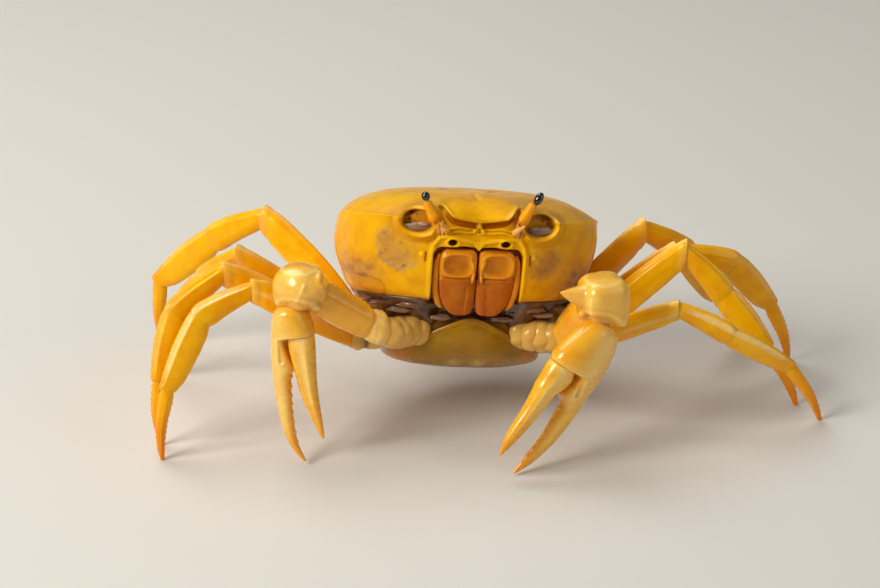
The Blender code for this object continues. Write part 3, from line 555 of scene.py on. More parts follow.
FINISHES = {
    # Thick chitin of the back, nearly dry: a broad dull sheen, with brown clouds and specks
    "shell": {"name": "wet_shell_chitin", "deep": "#E29C04", "pale": "#FFCB10", "rust": "#A24A02",
              "wash": "#94846E", "speck": "#5E3A10", "membrane": "#6A3812", "gloss": "#F0B850",
              "rough": 0.36, "film": 0.4, "film_rough": 0.12, "translucent": 0.15},
    # Smooth wet chitin of the legs: clear yellow, with narrow highlights along the ridges
    "legs": {"name": "leg_chitin", "deep": "#F6A802", "pale": "#FFE2A0", "rust": "#EC8804",
             "wash": "#8B7550", "speck": "#5A3A14", "membrane": "#F0BE74", "gloss": "#F4C060",
             "rough": 0.32, "film": 0.8, "film_rough": 0.1, "translucent": 0.2},
    # Dense pale chitin of the claws under a whole film of water: creamy, with small white lights
    "claws": {"name": "claw_chitin", "deep": "#F2A60C", "pale": "#FFDC84", "rust": "#EC9404",
              "wash": "#A08050", "speck": "#6A4A20", "membrane": "#E8AC60", "gloss": "#FFF0D0",
              "rough": 0.27, "film": 2.0, "film_rough": 0.1, "translucent": 0.3},
    # Thin wet plates of the mouth: brown-orange, with soft lights on their rims
    "mouth": {"name": "mouth_chitin", "deep": "#BE6404", "pale": "#FFB024", "rust": "#A84802",
              "wash": "#9A4E08", "speck": "#43240A", "membrane": "#3E1C08", "gloss": "#E8A050",
              "rough": 0.3, "film": 1.0, "film_rough": 0.1, "translucent": 0.15},
    # Thin wet chitin of the under side: olive brown, and paler on the hips
    "under": {"name": "belly_chitin", "deep": "#8E6408", "pale": "#FAD274", "rust": "#C8780A",
              "wash": "#6B4A14", "speck": "#43240A", "membrane": "#5A3418", "gloss": "#D8A860",
              "rough": 0.28, "film": 1.2, "film_rough": 0.1, "translucent": 0.2},
    # Smooth wet chitin of the eyestalks and feelers: orange, with one thin light down each
    "stalks": {"name": "stalk_chitin", "deep": "#EC9806", "pale": "#FFE0A0", "rust": "#C25A06",
               "wash": "#8B7550", "speck": "#5A3A14", "membrane": "#6E3A12", "gloss": "#F4C060",
               "rough": 0.28, "film": 1.2, "film_rough": 0.08, "translucent": 0.25},
    # Bare skin between the plates, wettest of all: dark, with many small sharp lights
    "soft": {"name": "wet_soft_skin", "deep": "#4E2A14", "pale": "#E6CDB0", "rust": "#E89C2C",
             "wash": "#4A2A18", "speck": "#2A1408", "membrane": "#3A1C0C", "gloss": "#FFFFFF",
             "rough": 0.3, "film": 2.0, "film_rough": 0.06, "translucent": 0.2},
}


def finish_of(kind):
    """One of the crab's finishes, made the first time it is asked for."""
    look = FINISHES[kind]
    if look["name"] in bpy.data.materials:
        return bpy.data.materials[look["name"]]
    scene = bpy.context.scene
    return chitin(look["name"], tuple(getattr(scene.crab_colours, kind)), look, scene.crab_sizes.wetness)


def eye_material():
    """Cornea of the eye: clear over black, mirror smooth, so it gives one small hard highlight."""
    if "cornea" in bpy.data.materials:
        return bpy.data.materials["cornea"]
    material = bpy.data.materials.new("cornea")
    material.use_nodes = True
    tree = material.node_tree
    shader = tree.nodes["Principled BSDF"]
    where = add(tree, "ShaderNodeTexCoord").outputs["Object"]
    facets = add(tree, "ShaderNodeTexVoronoi", {"Vector": where, "Scale": 1.0 / (FACET_SIZE * MM)})
    colour = add(tree, "ShaderNodeMix", {0: facets.outputs["Distance"], 6: linear("#050404"),
                                         7: linear("#1A100C")}, data_type="RGBA")
    fill(tree, shader, {"Base Color": colour.outputs[2], "Roughness": 0.12, "Coat Weight": 1.0,
                        "Coat Roughness": 0.03})
    return material


# Carapace and face

# Lines of the face in the body's frame, x from the middle and z, drawn for both sides
BROW_EDGE = ((0.0, 8.3), (1.2, 8.4), (2.4, 8.6), (3.4, 8.85), (3.9, 9.15), (4.4, 9.7), (4.8, 10.2),
             (5.6, 10.5), (9.0, 10.9))
BROW_ARC = ((3.6, 8.85), (3.95, 9.2), (4.4, 9.85), (4.9, 10.3), (5.8, 10.55), (7.0, 10.6))
MOUTH_BAR = ((0.0, 5.55), (1.3, 5.85), (2.3, 6.05), (4.4, 6.4), (5.3, 6.2), (6.0, 5.3), (6.25, 4.0),
             (6.3, 0.5), (6.05, -2.6))
MOUTH_ROOF = ((0.0, 4.95), (1.3, 5.1), (2.3, 5.15), (2.8, 5.05), (4.3, 5.0), (4.9, 5.0), (5.5, 4.75),
              (5.85, 4.2))
UPPER_RIDGE = ((0.3, 7.2), (0.9, 7.5), (2.6, 7.6), (4.4, 7.35))
LOWER_RIDGE = ((0.0, 6.75), (0.9, 6.95), (2.4, 7.05), (4.6, 6.85))
SEPTUM = ((0.0, 8.1), (0.15, 7.7), (0.6, 7.15))
FRAME_SEAM = ((6.9, 4.2), (6.95, 3.0))
WALL_SUTURE = ((20.0, 0.5), (14.0, 0.2), (12.6, 0.0), (11.9, -0.7), (11.6, -2.4))
# Line of a painted highlight across the left cheek, x and z
CHEEK_HIGHLIGHT_LINE = ((6.9, 5.6), (7.9, 3.6))
# Middles and half sizes of the face's round marks, in the same way
EYE_SOCKET = (8.0, 8.2, 2.17, 1.5)
BREATHING_HOLE = (3.5, 5.62, 0.55, 0.38)
FRAME_BUMP = (7.45, 3.9)
# Cheek patches of the right and of the left side: x from the middle, z and radius
CHEEKS = ((10.35, 4.8, 3.1), (8.8, 3.4, 2.7))
# Grooves of the dome from above, drawn for both sides: line, half width, depth and rust. An H
# lies over the stomach and heart, and fainter ones run to the front corners.
DOME_GROOVES = (
    (((2.5, -3.2), (3.3, 0.2), (2.1, 3.0), (2.4, 5.6)), 0.5, 0.16, 0.3),
    (((0.0, 3.3), (2.1, 3.0)), 0.4, 0.12, 0.2),
    (((3.3, 0.2), (7.4, -2.6), (11.0, -5.4)), 0.6, 0.08, 0.15),
    (((0.0, -9.6), (0.0, -5.5)), 0.4, 0.16, 0.0),
)


def face_depth(x, z, amount):
    """How far the face is pushed in (plus) or stands out (minus) at x and z, and its paint.

    Each mark is a bell or a soft step of a distance: from an ellipse for the eye sockets and
    breathing holes, from a drawn line for ridges, rims, seams and the bar over the mouth.
    """
    ax = np.abs(x)
    depth, pale, dark, rust, skin = (np.zeros_like(x) for _ in range(5))

    # Eye sockets, with a thick rounded rim that is open towards the middle
    socket_x, socket_z, wide, high = EYE_SOCKET
    u, v = ax - socket_x, z - socket_z
    r = np.hypot(u / wide, v / high)
    gap = np.hypot(u, v) * (r - 1.0) / np.maximum(r, 0.05)
    socket = smooth(0.12, -0.3, gap)
    shut = np.maximum(smooth(5.6, 6.5, ax), smooth(9.4, 9.8, z))
    rim = bell(gap - 0.55, 0.42) * shut
    moat = bell(gap - 1.35, 0.35) * shut
    depth += 1.35 * socket - 0.8 * rim + 0.1 * moat
    spots = smooth(0.1, 0.6, np.sin(5.1 * x + 2.0 * z) * np.sin(4.3 * z - 1.7 * x))
    # The rust round the rim's outside and in the moat is painted shade in the groove there
    rust = np.maximum(rust, 0.5 * socket + 0.25 * moat + 0.3 * bell(gap - 0.62, 0.3) * shut)
    skin = np.maximum(skin, 0.8 * socket * (0.35 * smooth(0.0, 1.4, v) + spots * smooth(7.6, 9.0, ax)))
    pale = np.maximum(pale, 0.5 * bell(gap - 0.3, 0.14) * shut)

    # Brow, its rounded edge, and the feeler hollows under it
    edge = curve(BROW_EDGE, ax.ravel())[:, 0].reshape(ax.shape)
    above = z - edge
    brow = smooth(5.6, 4.8, ax)
    arc = bell(line_distance(ax, z, BROW_ARC), 0.3)
    depth -= 0.28 * brow * smooth(-0.12, 0.15, above) * smooth(11.4, 10.7, z)
    depth -= 0.18 * brow * bell(above - 0.35, 0.35) + 0.35 * arc
    pale = np.maximum(pale, 0.5 * arc)
    hollow = (smooth(-1.0, -0.8, above) * smooth(0.02, -0.12, above) * smooth(0.15, 0.5, ax)
              * smooth(4.8, 4.3, ax))
    depth += 0.75 * hollow
    rust = np.maximum(rust, 0.9 * hollow)
    shelf = smooth(0.0, -0.15, above) * smooth(6.3, 6.8, z) * smooth(5.6, 5.0, ax) * (1.0 - hollow)
    depth += 0.5 * shelf
    for line, width, height, bright in ((SEPTUM, 0.18, 0.4, 0.6), (UPPER_RIDGE, 0.14, 0.3, 0.85),
                                        (LOWER_RIDGE, 0.14, 0.26, 0.85)):
        ridge = bell(line_distance(ax, z - 0.06 * np.sin(2.6 * ax), line), width)
        depth -= height * ridge
        pale = np.maximum(pale, bright * ridge)
    rust = np.maximum(rust, 0.35 * shelf * (1.0 - pale))

    # Bar over the mouth with its middle tooth, which runs down both sides as the mouth's frame
    bar = smooth(0.5, 0.06, line_distance(ax, z, MOUTH_BAR)) * (0.45 + 0.55 * smooth(0.5, 3.5, z))
    half = 0.08 + 0.85 * np.clip((z - 4.6) / 1.1, 0.0, 1.0)
    tooth = smooth(half + 0.1, half - 0.1, ax) * smooth(4.45, 4.7, z) * smooth(6.0, 5.7, z)
    raised = np.maximum(bar, tooth)
    depth -= 0.42 * raised
    pale = np.maximum(pale, 0.5 * raised)
    roof = curve(MOUTH_ROOF, ax.ravel())[:, 0].reshape(ax.shape)
    mouth = smooth(0.05, -0.12, z - roof) * smooth(6.0, 5.85, ax) * (1.0 - tooth)
    depth += 1.2 * mouth
    rust = np.maximum(rust, mouth)
    skin = np.maximum(skin, 0.3 * mouth)

    # Breathing holes with yellow lips
    hole_x, hole_z, wide, high = BREATHING_HOLE
    r = np.hypot((ax - hole_x) / wide, (z - hole_z) / high)
    hole = smooth(1.15, 0.85, r)
    depth += 1.2 * hole - 0.18 * bell(r - 1.5, 0.3)
    skin = np.maximum(skin, hole)
    pale = np.maximum(pale, 0.7 * bell(r - 1.55, 0.35))

    # Seam and bump beside the frame, the bump painted pale as a highlight
    seam = bell(line_distance(ax, z, FRAME_SEAM), 0.12)
    depth += 0.16 * seam
    rust = np.maximum(rust, seam)
    bump = bell(np.hypot(ax - FRAME_BUMP[0], z - FRAME_BUMP[1]), 0.3)
    depth -= 0.28 * bump
    pale = np.maximum(pale, 1.3 * bump)

    # Cheek patches, set a little differently on the two sides, each with a greyish halo. The left
    # one is rustier, partly painted shade on that side, and has a line of painted highlight
    right = x < 0
    cheek_x, cheek_z, radius = (np.where(right, *pair) for pair in zip(*CHEEKS))
    u, v = ax - cheek_x, z - cheek_z
    wobble = 1.0 + 0.05 * np.sin(3.0 * np.arctan2(v, u) + 1.0) + 0.04 * np.sin(7.0 * np.arctan2(v, u))
    cheek = np.hypot(u, v * 1.04) / (radius * wobble)
    outwards = smooth(-1.4, 0.9, 0.75 * u - 0.66 * v)
    halo = bell(cheek - 0.9, 0.17) * outwards * (0.75 + 0.25 * np.sin(5.0 * x - 3.0 * z))
    clear = smooth(0.95, 1.35, gap)
    depth += 0.07 * smooth(1.1, 0.4, cheek) * clear
    blots = 0.5 + 0.5 * np.sin(3.1 * x + 1.7 * z) * np.sin(2.7 * z - 1.3 * x + 0.6 * np.sin(4.0 * x))
    inside = smooth(1.05, 0.55, cheek) * (0.35 + 0.65 * outwards) * clear
    dark = np.maximum(dark, (0.25 + 0.3 * blots) * inside)
    rust = np.maximum(rust, np.where(right, 0.25, 0.5) * (1.3 - 0.6 * blots) * inside)
    dark = np.maximum(dark, np.where(right, 0.95, 0.35) * halo * clear)
    # Painted highlight: a pale, slightly raised line on the left cheek
    painted_highlight = bell(line_distance(x, z, CHEEK_HIGHLIGHT_LINE), 0.45)
    pale = np.maximum(pale, 0.6 * painted_highlight)
    depth -= 0.1 * painted_highlight
    return depth * amount, np.stack([pale, dark, rust, skin], -1)


def crest_height(y):
    """Height of the edge between the shell's wall and its dome."""
    return (CREST_FRONT + (CREST_SIDE - CREST_FRONT) * smooth(-5.0, 4.0, y)
            + (CREST_BACK - CREST_SIDE) * smooth(4.0, 14.0, y))


def carapace_grid():
    """Shell in the body's frame: copies of its plan outline, stacked, and their paint.

    Down the wall tau runs from 0 to 1: the outline is scaled by 1 + bulge sin(min(1, 1.5 tau) pi)
    - tuck tau^2.2, and rolls under at its foot. Over the dome s runs from 1 to 0: the outline
    shrinks by s and stands at crest + (top - crest) (1 - s^power)^rounding. Ridge, margin and
    grooves are bells on those.
    """
    w = np.concatenate([np.linspace(-4.6, 4.6, 300), np.linspace(4.6, 19.4, 190)[1:-1]])
    outline = loop_curve(whole_loop(SHELL_OUTLINE), w)
    centre = np.array(SHELL_CENTRE)
    out = outline - centre
    crest = crest_height(outline[:, 1])
    sides = smooth(11.0, 16.0, np.abs(outline[:, 0]))
    edge = smooth(6.0, 10.5, np.abs(outline[:, 0])) * smooth(2.0, -5.0, outline[:, 1])
    rounding = DOME_ROUND + (1.0 - DOME_ROUND) * edge
    bead_spacing = 0.5
    way_round = np.cumsum(np.hypot(*np.gradient(outline, axis=0).T))
    beads = 1.0 + 0.5 * np.sin(2 * math.pi * way_round / bead_spacing)

    tau = np.linspace(1.0, 0.0, 130)[:, None]
    scale = (1.0 + WALL_BULGE * sides * np.sin(math.pi * np.minimum(1.0, 1.5 * tau))
             - WALL_TUCK * tau ** 2.2 - MARGIN_ROLL * smooth(0.88, 1.0, tau) ** 2)
    lift = 0.15 * bell(tau - 0.97, 0.02) + 0.12 * edge * bell(tau, 0.018) * beads
    wall = raised(centre + out * scale[..., None] + unit(out) * lift[..., None],
                  crest + (SHELL_BOTTOM - crest) * tau)
    q = np.linspace(0.0, 1.0, 96)[1:-1, None]
    s = 1.0 - q ** 2.6
    lift = 0.12 * edge * bell((1.0 - s) * 15.0, 0.2) * beads
    dome = raised(centre + out * s[..., None] + unit(out) * lift[..., None],
                  crest + (SHELL_TOP - crest) * (1.0 - s ** DOME_POWER) ** rounding)
    shrink = np.array([0.2, 0.5, 0.75, 0.9, 0.97])[:, None]
    foot = raised(centre + out * (1.0 - WALL_TUCK - MARGIN_ROLL) * shrink[..., None],
                  SHELL_BOTTOM + 0.5 * (1.0 - shrink))
    grid = np.concatenate([foot, wall, dome])
    paint = np.zeros(grid.shape[:2] + (4,))
    first_wall, first_dome = len(foot), len(foot) + len(wall)
    # Parts of the whole grid and its paint: what changes here changes there
    wall, dome = grid[first_wall:first_dome], grid[first_dome:]
    wall_paint, dome_paint = paint[first_wall:first_dome], paint[first_dome:]
    paint[:first_wall, :, 3] = 1.0
    wall_paint[..., 0] = 0.55 * edge * bell(tau, 0.03)
    # Rust and dark skin colour at the foot of the wall, partly painted shade where it rolls under
    wall_paint[..., 2] = 0.6 * smooth(0.93, 1.0, tau)
    wall_paint[..., 3] = 0.7 * smooth(0.965, 1.0, tau)

    # Suture and rusty flecks low on the side wall, and painted shade low on the left wall
    x, y, z = (wall[..., n] for n in range(3))
    suture = bell(line_distance(np.abs(x), z, WALL_SUTURE), 0.16) * smooth(9.0, 6.0, y)
    wall[..., :2] -= 0.06 * suture[..., None] * unit(out)
    wall_paint[..., 2] += 0.3 * suture
    flecks = bell(np.hypot((np.abs(x) - 14.8) / 2.4, (z - 0.9) / 1.6), 1.0)
    waves = np.sin(2.3 * x + 1.1 * z) * np.sin(2.9 * z - 0.7 * x) + 0.2 * np.sin(7 * x + 5 * z)
    wall_paint[..., 1] += 0.5 * flecks
    wall_paint[..., 2] += (0.25 + 0.45 * smooth(0.1, 0.5, waves)) * flecks
    # Painted shade: rust low on the left wall, which is turned away from the key light
    wall_paint[..., 2] += 0.55 * smooth(9.0, 15.0, x) * smooth(7.0, -1.0, z)

    # Grooves of the dome, darker mottling at its front, and a painted highlight on its right shoulder
    x, y = dome[..., 0], dome[..., 1]
    ax = np.abs(x)
    depth, rust = np.zeros_like(x), np.zeros_like(x)
    for line, width, deep, rusty in DOME_GROOVES:
        groove = bell(line_distance(ax, y, line), width)
        depth += deep * groove
        rust += rusty * groove
    dome[..., 2] -= depth
    dome_paint[..., 2] += rust
    mottled = (smooth(2.0, 7.0, x) * smooth(-2.0, -8.0, y)
               + 0.5 * smooth(3.0, 6.0, ax) * smooth(-7.0, -10.0, y))
    dome_paint[..., 1] += 0.25 * np.clip(mottled, 0.0, 1.0)
    # Painted highlight: a pale patch where the lamps' sheen lies on the right shoulder
    dome_paint[..., 0] += 0.5 * bell(np.hypot((x + 11.0) / 4.5, (y + 5.0) / 3.5), 1.0)
    return grid, paint


def with_face(grid, paint, amount):
    """Push the face into the shell's front, fading out at its sides and under the dome."""
    x, y, z = grid[..., 0], grid[..., 1], grid[..., 2]
    depth, face = face_depth(x, z, amount)
    gate = smooth(-8.4, -10.2, y) * smooth(14.0, 12.6, np.abs(x)) * smooth(11.8, 11.1, z)
    grid[..., 1] += depth * gate
    return grid, np.maximum(paint, face * gate[..., None])


class CRAB_OT_carapace(bpy.types.Operator):
    """Build the domed shell and the face that is one piece with it"""
    bl_idname = "crab.carapace"
    bl_label = "Carapace"

    def execute(self, context):
        grid, paint = with_face(*carapace_grid(), context.scene.crab_sizes.face_relief)
        make_piece("carapace_shell", finish_of("shell"), "shell", "carapace", on_body(grid), paint)
        return {"FINISHED"}


# Mouth, eyes and feelers

# Down the mouth, straight out of it, and its upper end
MOUTH_SLOPE = unit((0.0, MOUTH_FOOT[0] - MOUTH_TOP[0], MOUTH_FOOT[1] - MOUTH_TOP[1]))
MOUTH_OUT = np.array([0.0, MOUTH_SLOPE[2], -MOUTH_SLOPE[1]])
MOUTH_ORIGIN = np.array([0.0, *MOUTH_TOP])


def plate_grid(rows, thickness, front, marks, side, steps=76, sides=88, squareness=4.5):
    """A plate that lies on the mouth's slope, and its paint.

    rows hold the way down s, the middle x and half width. A section is a superellipse of that
    half width and thickness, and its outer face is pushed out by front and by the height that
    marks(x, s) gives along with the paint.
    """
    table = np.asarray(rows, float)
    q = np.linspace(0.0, 1.0, steps)
    s = table[0, 0] + (table[-1, 0] - table[0, 0]) * (0.5 - 0.5 * np.cos(math.pi * q))
    middle, half = (c[:, None] for c in curve(table, s).T)
    a = ring_angles(sides)
    cos, sin = superellipse(a, squareness)
    x = middle + half * cos
    s = np.broadcast_to(s[:, None], x.shape)
    end = np.sqrt(np.clip(1.0 - np.abs(2 * q - 1) ** 8, 0.02, 1.0))[:, None]
    height, paint = marks(x, s)
    out = thickness * end * sin + smooth(0.0, 0.5, np.sin(a)) * height + front
    points = (MOUTH_ORIGIN + s[..., None] * MOUTH_SLOPE + out[..., None] * MOUTH_OUT
              + x[..., None] * (1.0, 0.0, 0.0))
    return on_body(flipped(points, side)), paint


def upper_plate_marks(x, s):
    """Sunk middle inside a raised rim."""
    r = (np.abs((x - 2.6) / 2.0) ** 2.6 + np.abs((s - 1.6) / 1.5) ** 2.6) ** (1 / 2.6)
    rim = bell(r - 1.06, 0.14)
    height = 0.2 * rim - 0.28 * smooth(1.0, 0.55, r)
    return height, np.stack([0.55 * rim, 0.35 * smooth(1.0, 0.3, r), 0.1 + 0.0 * x, 0.0 * x], -1)


def lower_plate_marks(x, s):
    """Raised upper edge, a long groove near the inner side, and a face that bows away."""
    groove = bell(x - 1.3 - 0.05 * (s - 4.3), 0.16) * smooth(4.2, 5.0, s)
    height = 0.1 * bell(s - 3.75, 0.2) - 0.16 * groove - 0.05 * (x - 2.6) ** 2
    streaks = 0.5 + 0.5 * np.sin(9.0 * x + 0.8 * np.sin(1.3 * s))
    rust = 0.55 + 0.25 * smooth(6.0, 8.7, s) + 0.15 * streaks
    return height, np.stack([0.35 * bell(s - 3.7, 0.22), 0.4 * groove, rust, 0.0 * x], -1)


def side_strip_marks(x, s):
    """Even, a little pale and rusty."""
    return 0.0 * x, np.stack([0.35 + 0.0 * x, 0.0 * x, 0.25 + 0.0 * x, 0.0 * x], -1)


def palp_marks(x, s):
    """Pale, with rusty bands across."""
    return 0.0 * x, np.stack([0.75 + 0.0 * x, 0.0 * x, 0.5 * np.sin(2.0 * s) ** 2, 0.0 * x], -1)


def make_mouth(side):
    """Outer mouth leg: squarish upper plate, long lower plate, side strip and small folded palp."""
    sheet = Sheet()
    sheet.tube(*plate_grid(((-0.35, 2.42, 1.75), (0.0, 2.47, 2.2), (0.6, 2.55, 2.43), (2.8, 2.55, 2.46),
                            (3.2, 2.52, 2.42), (3.45, 2.52, 2.3)), 0.7, 0.1, upper_plate_marks, side))
    sheet.tube(*plate_grid(((3.35, 2.52, 2.3), (3.7, 2.52, 2.44), (6.2, 2.36, 2.26), (7.6, 2.08, 1.9),
                            (8.4, 1.85, 1.4), (8.7, 1.75, 0.9)), 0.72, 0.05, lower_plate_marks, side))
    sheet.tube(*plate_grid(((0.3, 5.1, 0.16), (1.4, 5.35, 0.4), (5.0, 5.36, 0.46), (7.2, 4.8, 0.44),
                            (7.9, 4.4, 0.24)), 0.42, -0.1, side_strip_marks, side,
                           sides=32, squareness=2.5))
    for top, foot, x0, x1, wide in ((0.5, 1.8, 0.95, 0.62, 0.32), (1.7, 2.9, 0.6, 0.5, 0.28),
                                    (2.8, 4.0, 0.5, 0.62, 0.22)):
        rows = ((top, x0, wide * 0.6), ((top + foot) / 2, (x0 + x1) / 2, wide), (foot, x1, wide * 0.6))
        sheet.tube(*plate_grid(rows, 0.28, 0.78, palp_marks, side, steps=24, sides=24, squareness=2.2))
    sheet.piece(f"maxilliped_{side}_shell", finish_of("mouth"), "mouth", f"maxilliped_{side}")


def rod_grid(start, end, rows, sides=36):
    """Round rod from start to end: radius from rows (t, radius)."""
    start, end = np.asarray(start, float), np.asarray(end, float)
    along = unit(end - start)
    u = unit(np.cross(along, (0.0, 1.0, 0.0)))
    v = np.cross(along, u)
    t = np.linspace(0.0, 1.0, 40)[:, None, None]
    a = ring_angles(sides)[None, :, None]
    radius = curve(rows, t[:, 0, 0])[:, None]
    return start + (end - start) * t + radius * (np.cos(a) * u + np.sin(a) * v)


def lump_grid(centre, radii, seed, rough=0.08, axis=(0.0, 0.0, 1.0), rows=34, sides=48):
    """Rounded lump: centre + d radii (1 + rough waves(d)) for directions d, its poles along axis.

    radii are across, across and along the axis. waves is sin(3x + n) sin(4y + 2n)
    + 0.6 sin(6z + 3x + n) of the direction, with n the seed.
    """
    axis = unit(axis)
    u = unit(np.cross(axis, (0.0, 1.0, 0.0) if abs(axis[1]) < 0.9 else (1.0, 0.0, 0.0)))
    v = np.cross(axis, u)
    polar = np.linspace(0.0, math.pi, rows + 2)[1:-1, None]
    a = ring_angles(sides)[None, :]
    x, y, z = np.sin(polar) * np.cos(a), np.sin(polar) * np.sin(a), np.cos(polar) + 0.0 * a
    waves = np.sin(3 * x + seed) * np.sin(4 * y + 2 * seed) + 0.6 * np.sin(6 * z + 3 * x + seed)
    swell = 1.0 + rough * waves
    return (np.asarray(centre) + (radii[0] * swell * x)[..., None] * u
            + (radii[1] * swell * y)[..., None] * v + (radii[2] * swell * z)[..., None] * axis)


def plain_paint(grid, pale, rust):
    """The same paint all over a grid."""
    return np.broadcast_to((pale, 0.0, rust, 0.0), grid.shape[:2] + (4,))


# Rows of the share of the way along and the radius, of an eyestalk and of a feeler, then the
# feeler's foot and tip, and each eye's half height and how far it leans aside on its stalk
STALK_ROWS = ((0.0, 0.7), (0.15, 0.8), (0.5, 0.68), (0.8, 0.62), (0.93, 0.56), (1.0, 0.35))
FEELER_ROWS = ((0.0, 0.45), (0.35, 0.42), (0.42, 0.3), (0.6, 0.24), (0.9, 0.16), (1.0, 0.08))
FEELER = ((4.5, -13.3, 7.2), (5.6, -14.9, 8.3))
EYES = {"left": (0.95, 0.25), "right": (0.64, -0.1)}


class CRAB_OT_mouth_and_eyes(bpy.types.Operator):
    """Build the mouth legs, the eyestalks with their eyes, and the feelers"""
    bl_idname = "crab.mouth_and_eyes"
    bl_label = "Mouth, eyes and feelers"

    def execute(self, context):
        for side in ("left", "right"):
            make_mouth(side)
            foot, top = (np.array(point) for point in STALKS[side])
            along = unit(top - foot)
            stalk = rod_grid(foot - along * 0.3, top + along * 0.3, STALK_ROWS)
            paint = np.zeros(stalk.shape[:2] + (4,))
            paint[..., 2] = 0.6 * smooth(0.35, 0.0, np.linspace(0.0, 1.0, len(stalk)))[:, None]
            make_piece(f"eyestalk_{side}_shell", finish_of("stalks"), "stalk", f"eyestalk_{side}",
                       on_body(flipped(stalk, side)), paint)
            tall, aside = EYES[side]
            eye = lump_grid(top + along * 0.95 + (aside, -0.05, 0.1), (0.58, 0.6, tall), 0.0, 0.0, along)
            make_piece(f"eye_{side}_cornea", eye_material(), "eye", f"eye_{side}",
                       on_body(flipped(eye, side)))
            feeler = rod_grid(*FEELER, FEELER_ROWS, 24)
            make_piece(f"antenna_{side}_shell", finish_of("stalks"), "stalk", f"antenna_{side}",
                       on_body(flipped(feeler, side)), plain_paint(feeler, pale=0.3, rust=0.1))
        return {"FINISHED"}


# Claw arms

# Joints and tips in the stance, and the elbow's spine as a way from its middle. Edges and half
# thickness run along the claw in rows of distance from the wrist and size. The movable finger's
# rows hold the fraction along, its middle, half width and half thickness. The slot is the slender
# hollow beside the movable finger's root, and the number after collar is where, across the palm,
# a painted sheen makes it palest. An elbow with boxy 2 would be round, and collar is the upper
# arm's lumpy share. Crease, hollow and nubs are x and z from the elbow's middle, on its front, and
# open_front turns its opening that way. The hinge is where the movable finger's root starts, from
# its inner to its outer end.
CLAWS = {
    "right": {
        "shoulder": (-12.6, -10.8, 16.2), "elbow": (-24.3, -12.0, 23.9), "wrist": (-25.1, -11.9, 21.0),
        "finger_tip": (-24.6, -15.4, 0.6), "dactyl_tip": (-21.6, -16.4, 4.3), "spine": (2.7, -3.1, 1.6),
        "elbow_size": (3.5, 3.2, 3.5),
        "outer": ((-1.0, -0.9), (-0.7, -1.8), (0.0, -2.6), (0.9, -3.0), (3.1, -3.35), (5.4, -3.55),
                  (9.2, -3.55), (13.5, -3.2), (16.7, -2.6), (19.1, -1.5), (20.6, -0.2)),
        "inner": ((-1.0, 0.5), (-0.7, 1.1), (0.0, 1.7), (1.1, 2.1), (2.0, 2.4), (2.9, 2.5), (3.2, 2.2),
                  (3.35, 0.2), (3.6, -1.2), (5.6, -1.15), (7.2, -0.7), (8.0, -0.55), (8.7, -0.95),
                  (9.6, -1.15), (11.9, -1.25), (14.4, -1.25), (18.1, -0.84), (20.6, 0.2)),
        "thick": ((-1.0, 1.3), (-0.6, 2.0), (0.2, 2.45), (2.0, 2.35), (4.0, 2.05), (6.0, 1.6), (9.0, 1.2),
                  (13.5, 0.9), (18.0, 0.6), (20.6, 0.2)),
        "hinge": ((3.2, 2.5), (3.3, -1.15)),
        "dactyl": ((0.0, 0.68, 1.82, 1.65), (0.17, 0.8, 1.72, 1.5), (0.34, 1.0, 1.45, 1.25),
                   (0.5, 1.2, 1.25, 1.05), (0.63, 1.5, 1.05, 0.9), (0.86, 2.3, 0.58, 0.5),
                   (1.0, 2.8, 0.2, 0.2)),
        "slot": ((3.9, -1.5), (6.6, -1.75)), "boxy": 2.4, "collar": 0.26, "painted_sheen_across": -2.4,
        "crease": ((0.3, 2.0), (-0.9, -0.3)), "hollow": (2.3, -1.2), "nubs": ((2.4, 2.5), (3.1, 1.2)),
        "open_front": 2.2,
    },
    "left": {
        "shoulder": (10.2, -11.4, 13.8), "elbow": (14.6, -18.4, 22.0), "wrist": (13.6, -20.2, 19.0),
        "finger_tip": (2.2, -22.9, 0.6), "dactyl_tip": (-1.2, -24.6, 4.7), "spine": (-6.0, -1.0, 2.3),
        "elbow_size": (3.1, 3.2, 3.6),
        "outer": ((-1.0, -1.6), (-0.7, -2.5), (0.0, -3.2), (2.0, -4.0), (6.0, -4.4), (9.2, -4.1),
                  (12.9, -3.9), (15.9, -3.3), (19.2, -2.15), (21.2, -0.9), (22.0, -0.2)),
        "inner": ((-1.0, 0.8), (-0.7, 1.4), (0.0, 2.0), (1.0, 2.6), (4.2, 4.1), (5.2, 4.3), (5.9, 4.1),
                  (6.1, 3.4), (6.3, 0.3), (7.3, -0.2), (8.6, 0.1), (9.2, 0.35), (9.6, 0.6), (10.0, 0.2),
                  (10.5, -0.7), (11.5, -1.1), (13.3, -1.05), (15.8, -1.05), (19.2, -0.36), (22.0, 0.2)),
        "thick": ((-1.0, 1.1), (-0.6, 1.8), (0.2, 2.2), (2.5, 2.5), (5.5, 2.5), (8.0, 1.95),
                  (10.5, 1.4), (14.5, 1.05), (19.0, 0.65), (22.0, 0.2)),
        "hinge": ((6.1, 4.3), (6.1, 0.2)),
        "dactyl": ((0.0, 2.3, 1.95, 1.75), (0.085, 2.15, 2.2, 1.75), (0.19, 2.35, 2.0, 1.6),
                   (0.26, 2.8, 1.6, 1.45), (0.31, 2.8, 1.5, 1.35), (0.5, 3.0, 1.2, 1.1),
                   (0.7, 3.35, 1.05, 0.9), (0.87, 3.7, 0.72, 0.6), (0.95, 3.8, 0.38, 0.34),
                   (1.0, 3.75, 0.2, 0.2)),
        "slot": ((6.6, -0.5), (8.9, -1.3)), "boxy": 3.7, "collar": 0.0, "painted_sheen_across": -0.6,
        "crease": ((-2.2, 1.5), (-2.2, -2.7)), "hollow": (-3.0, -1.9), "nubs": (),
        "open_front": 0.0,
    },
}
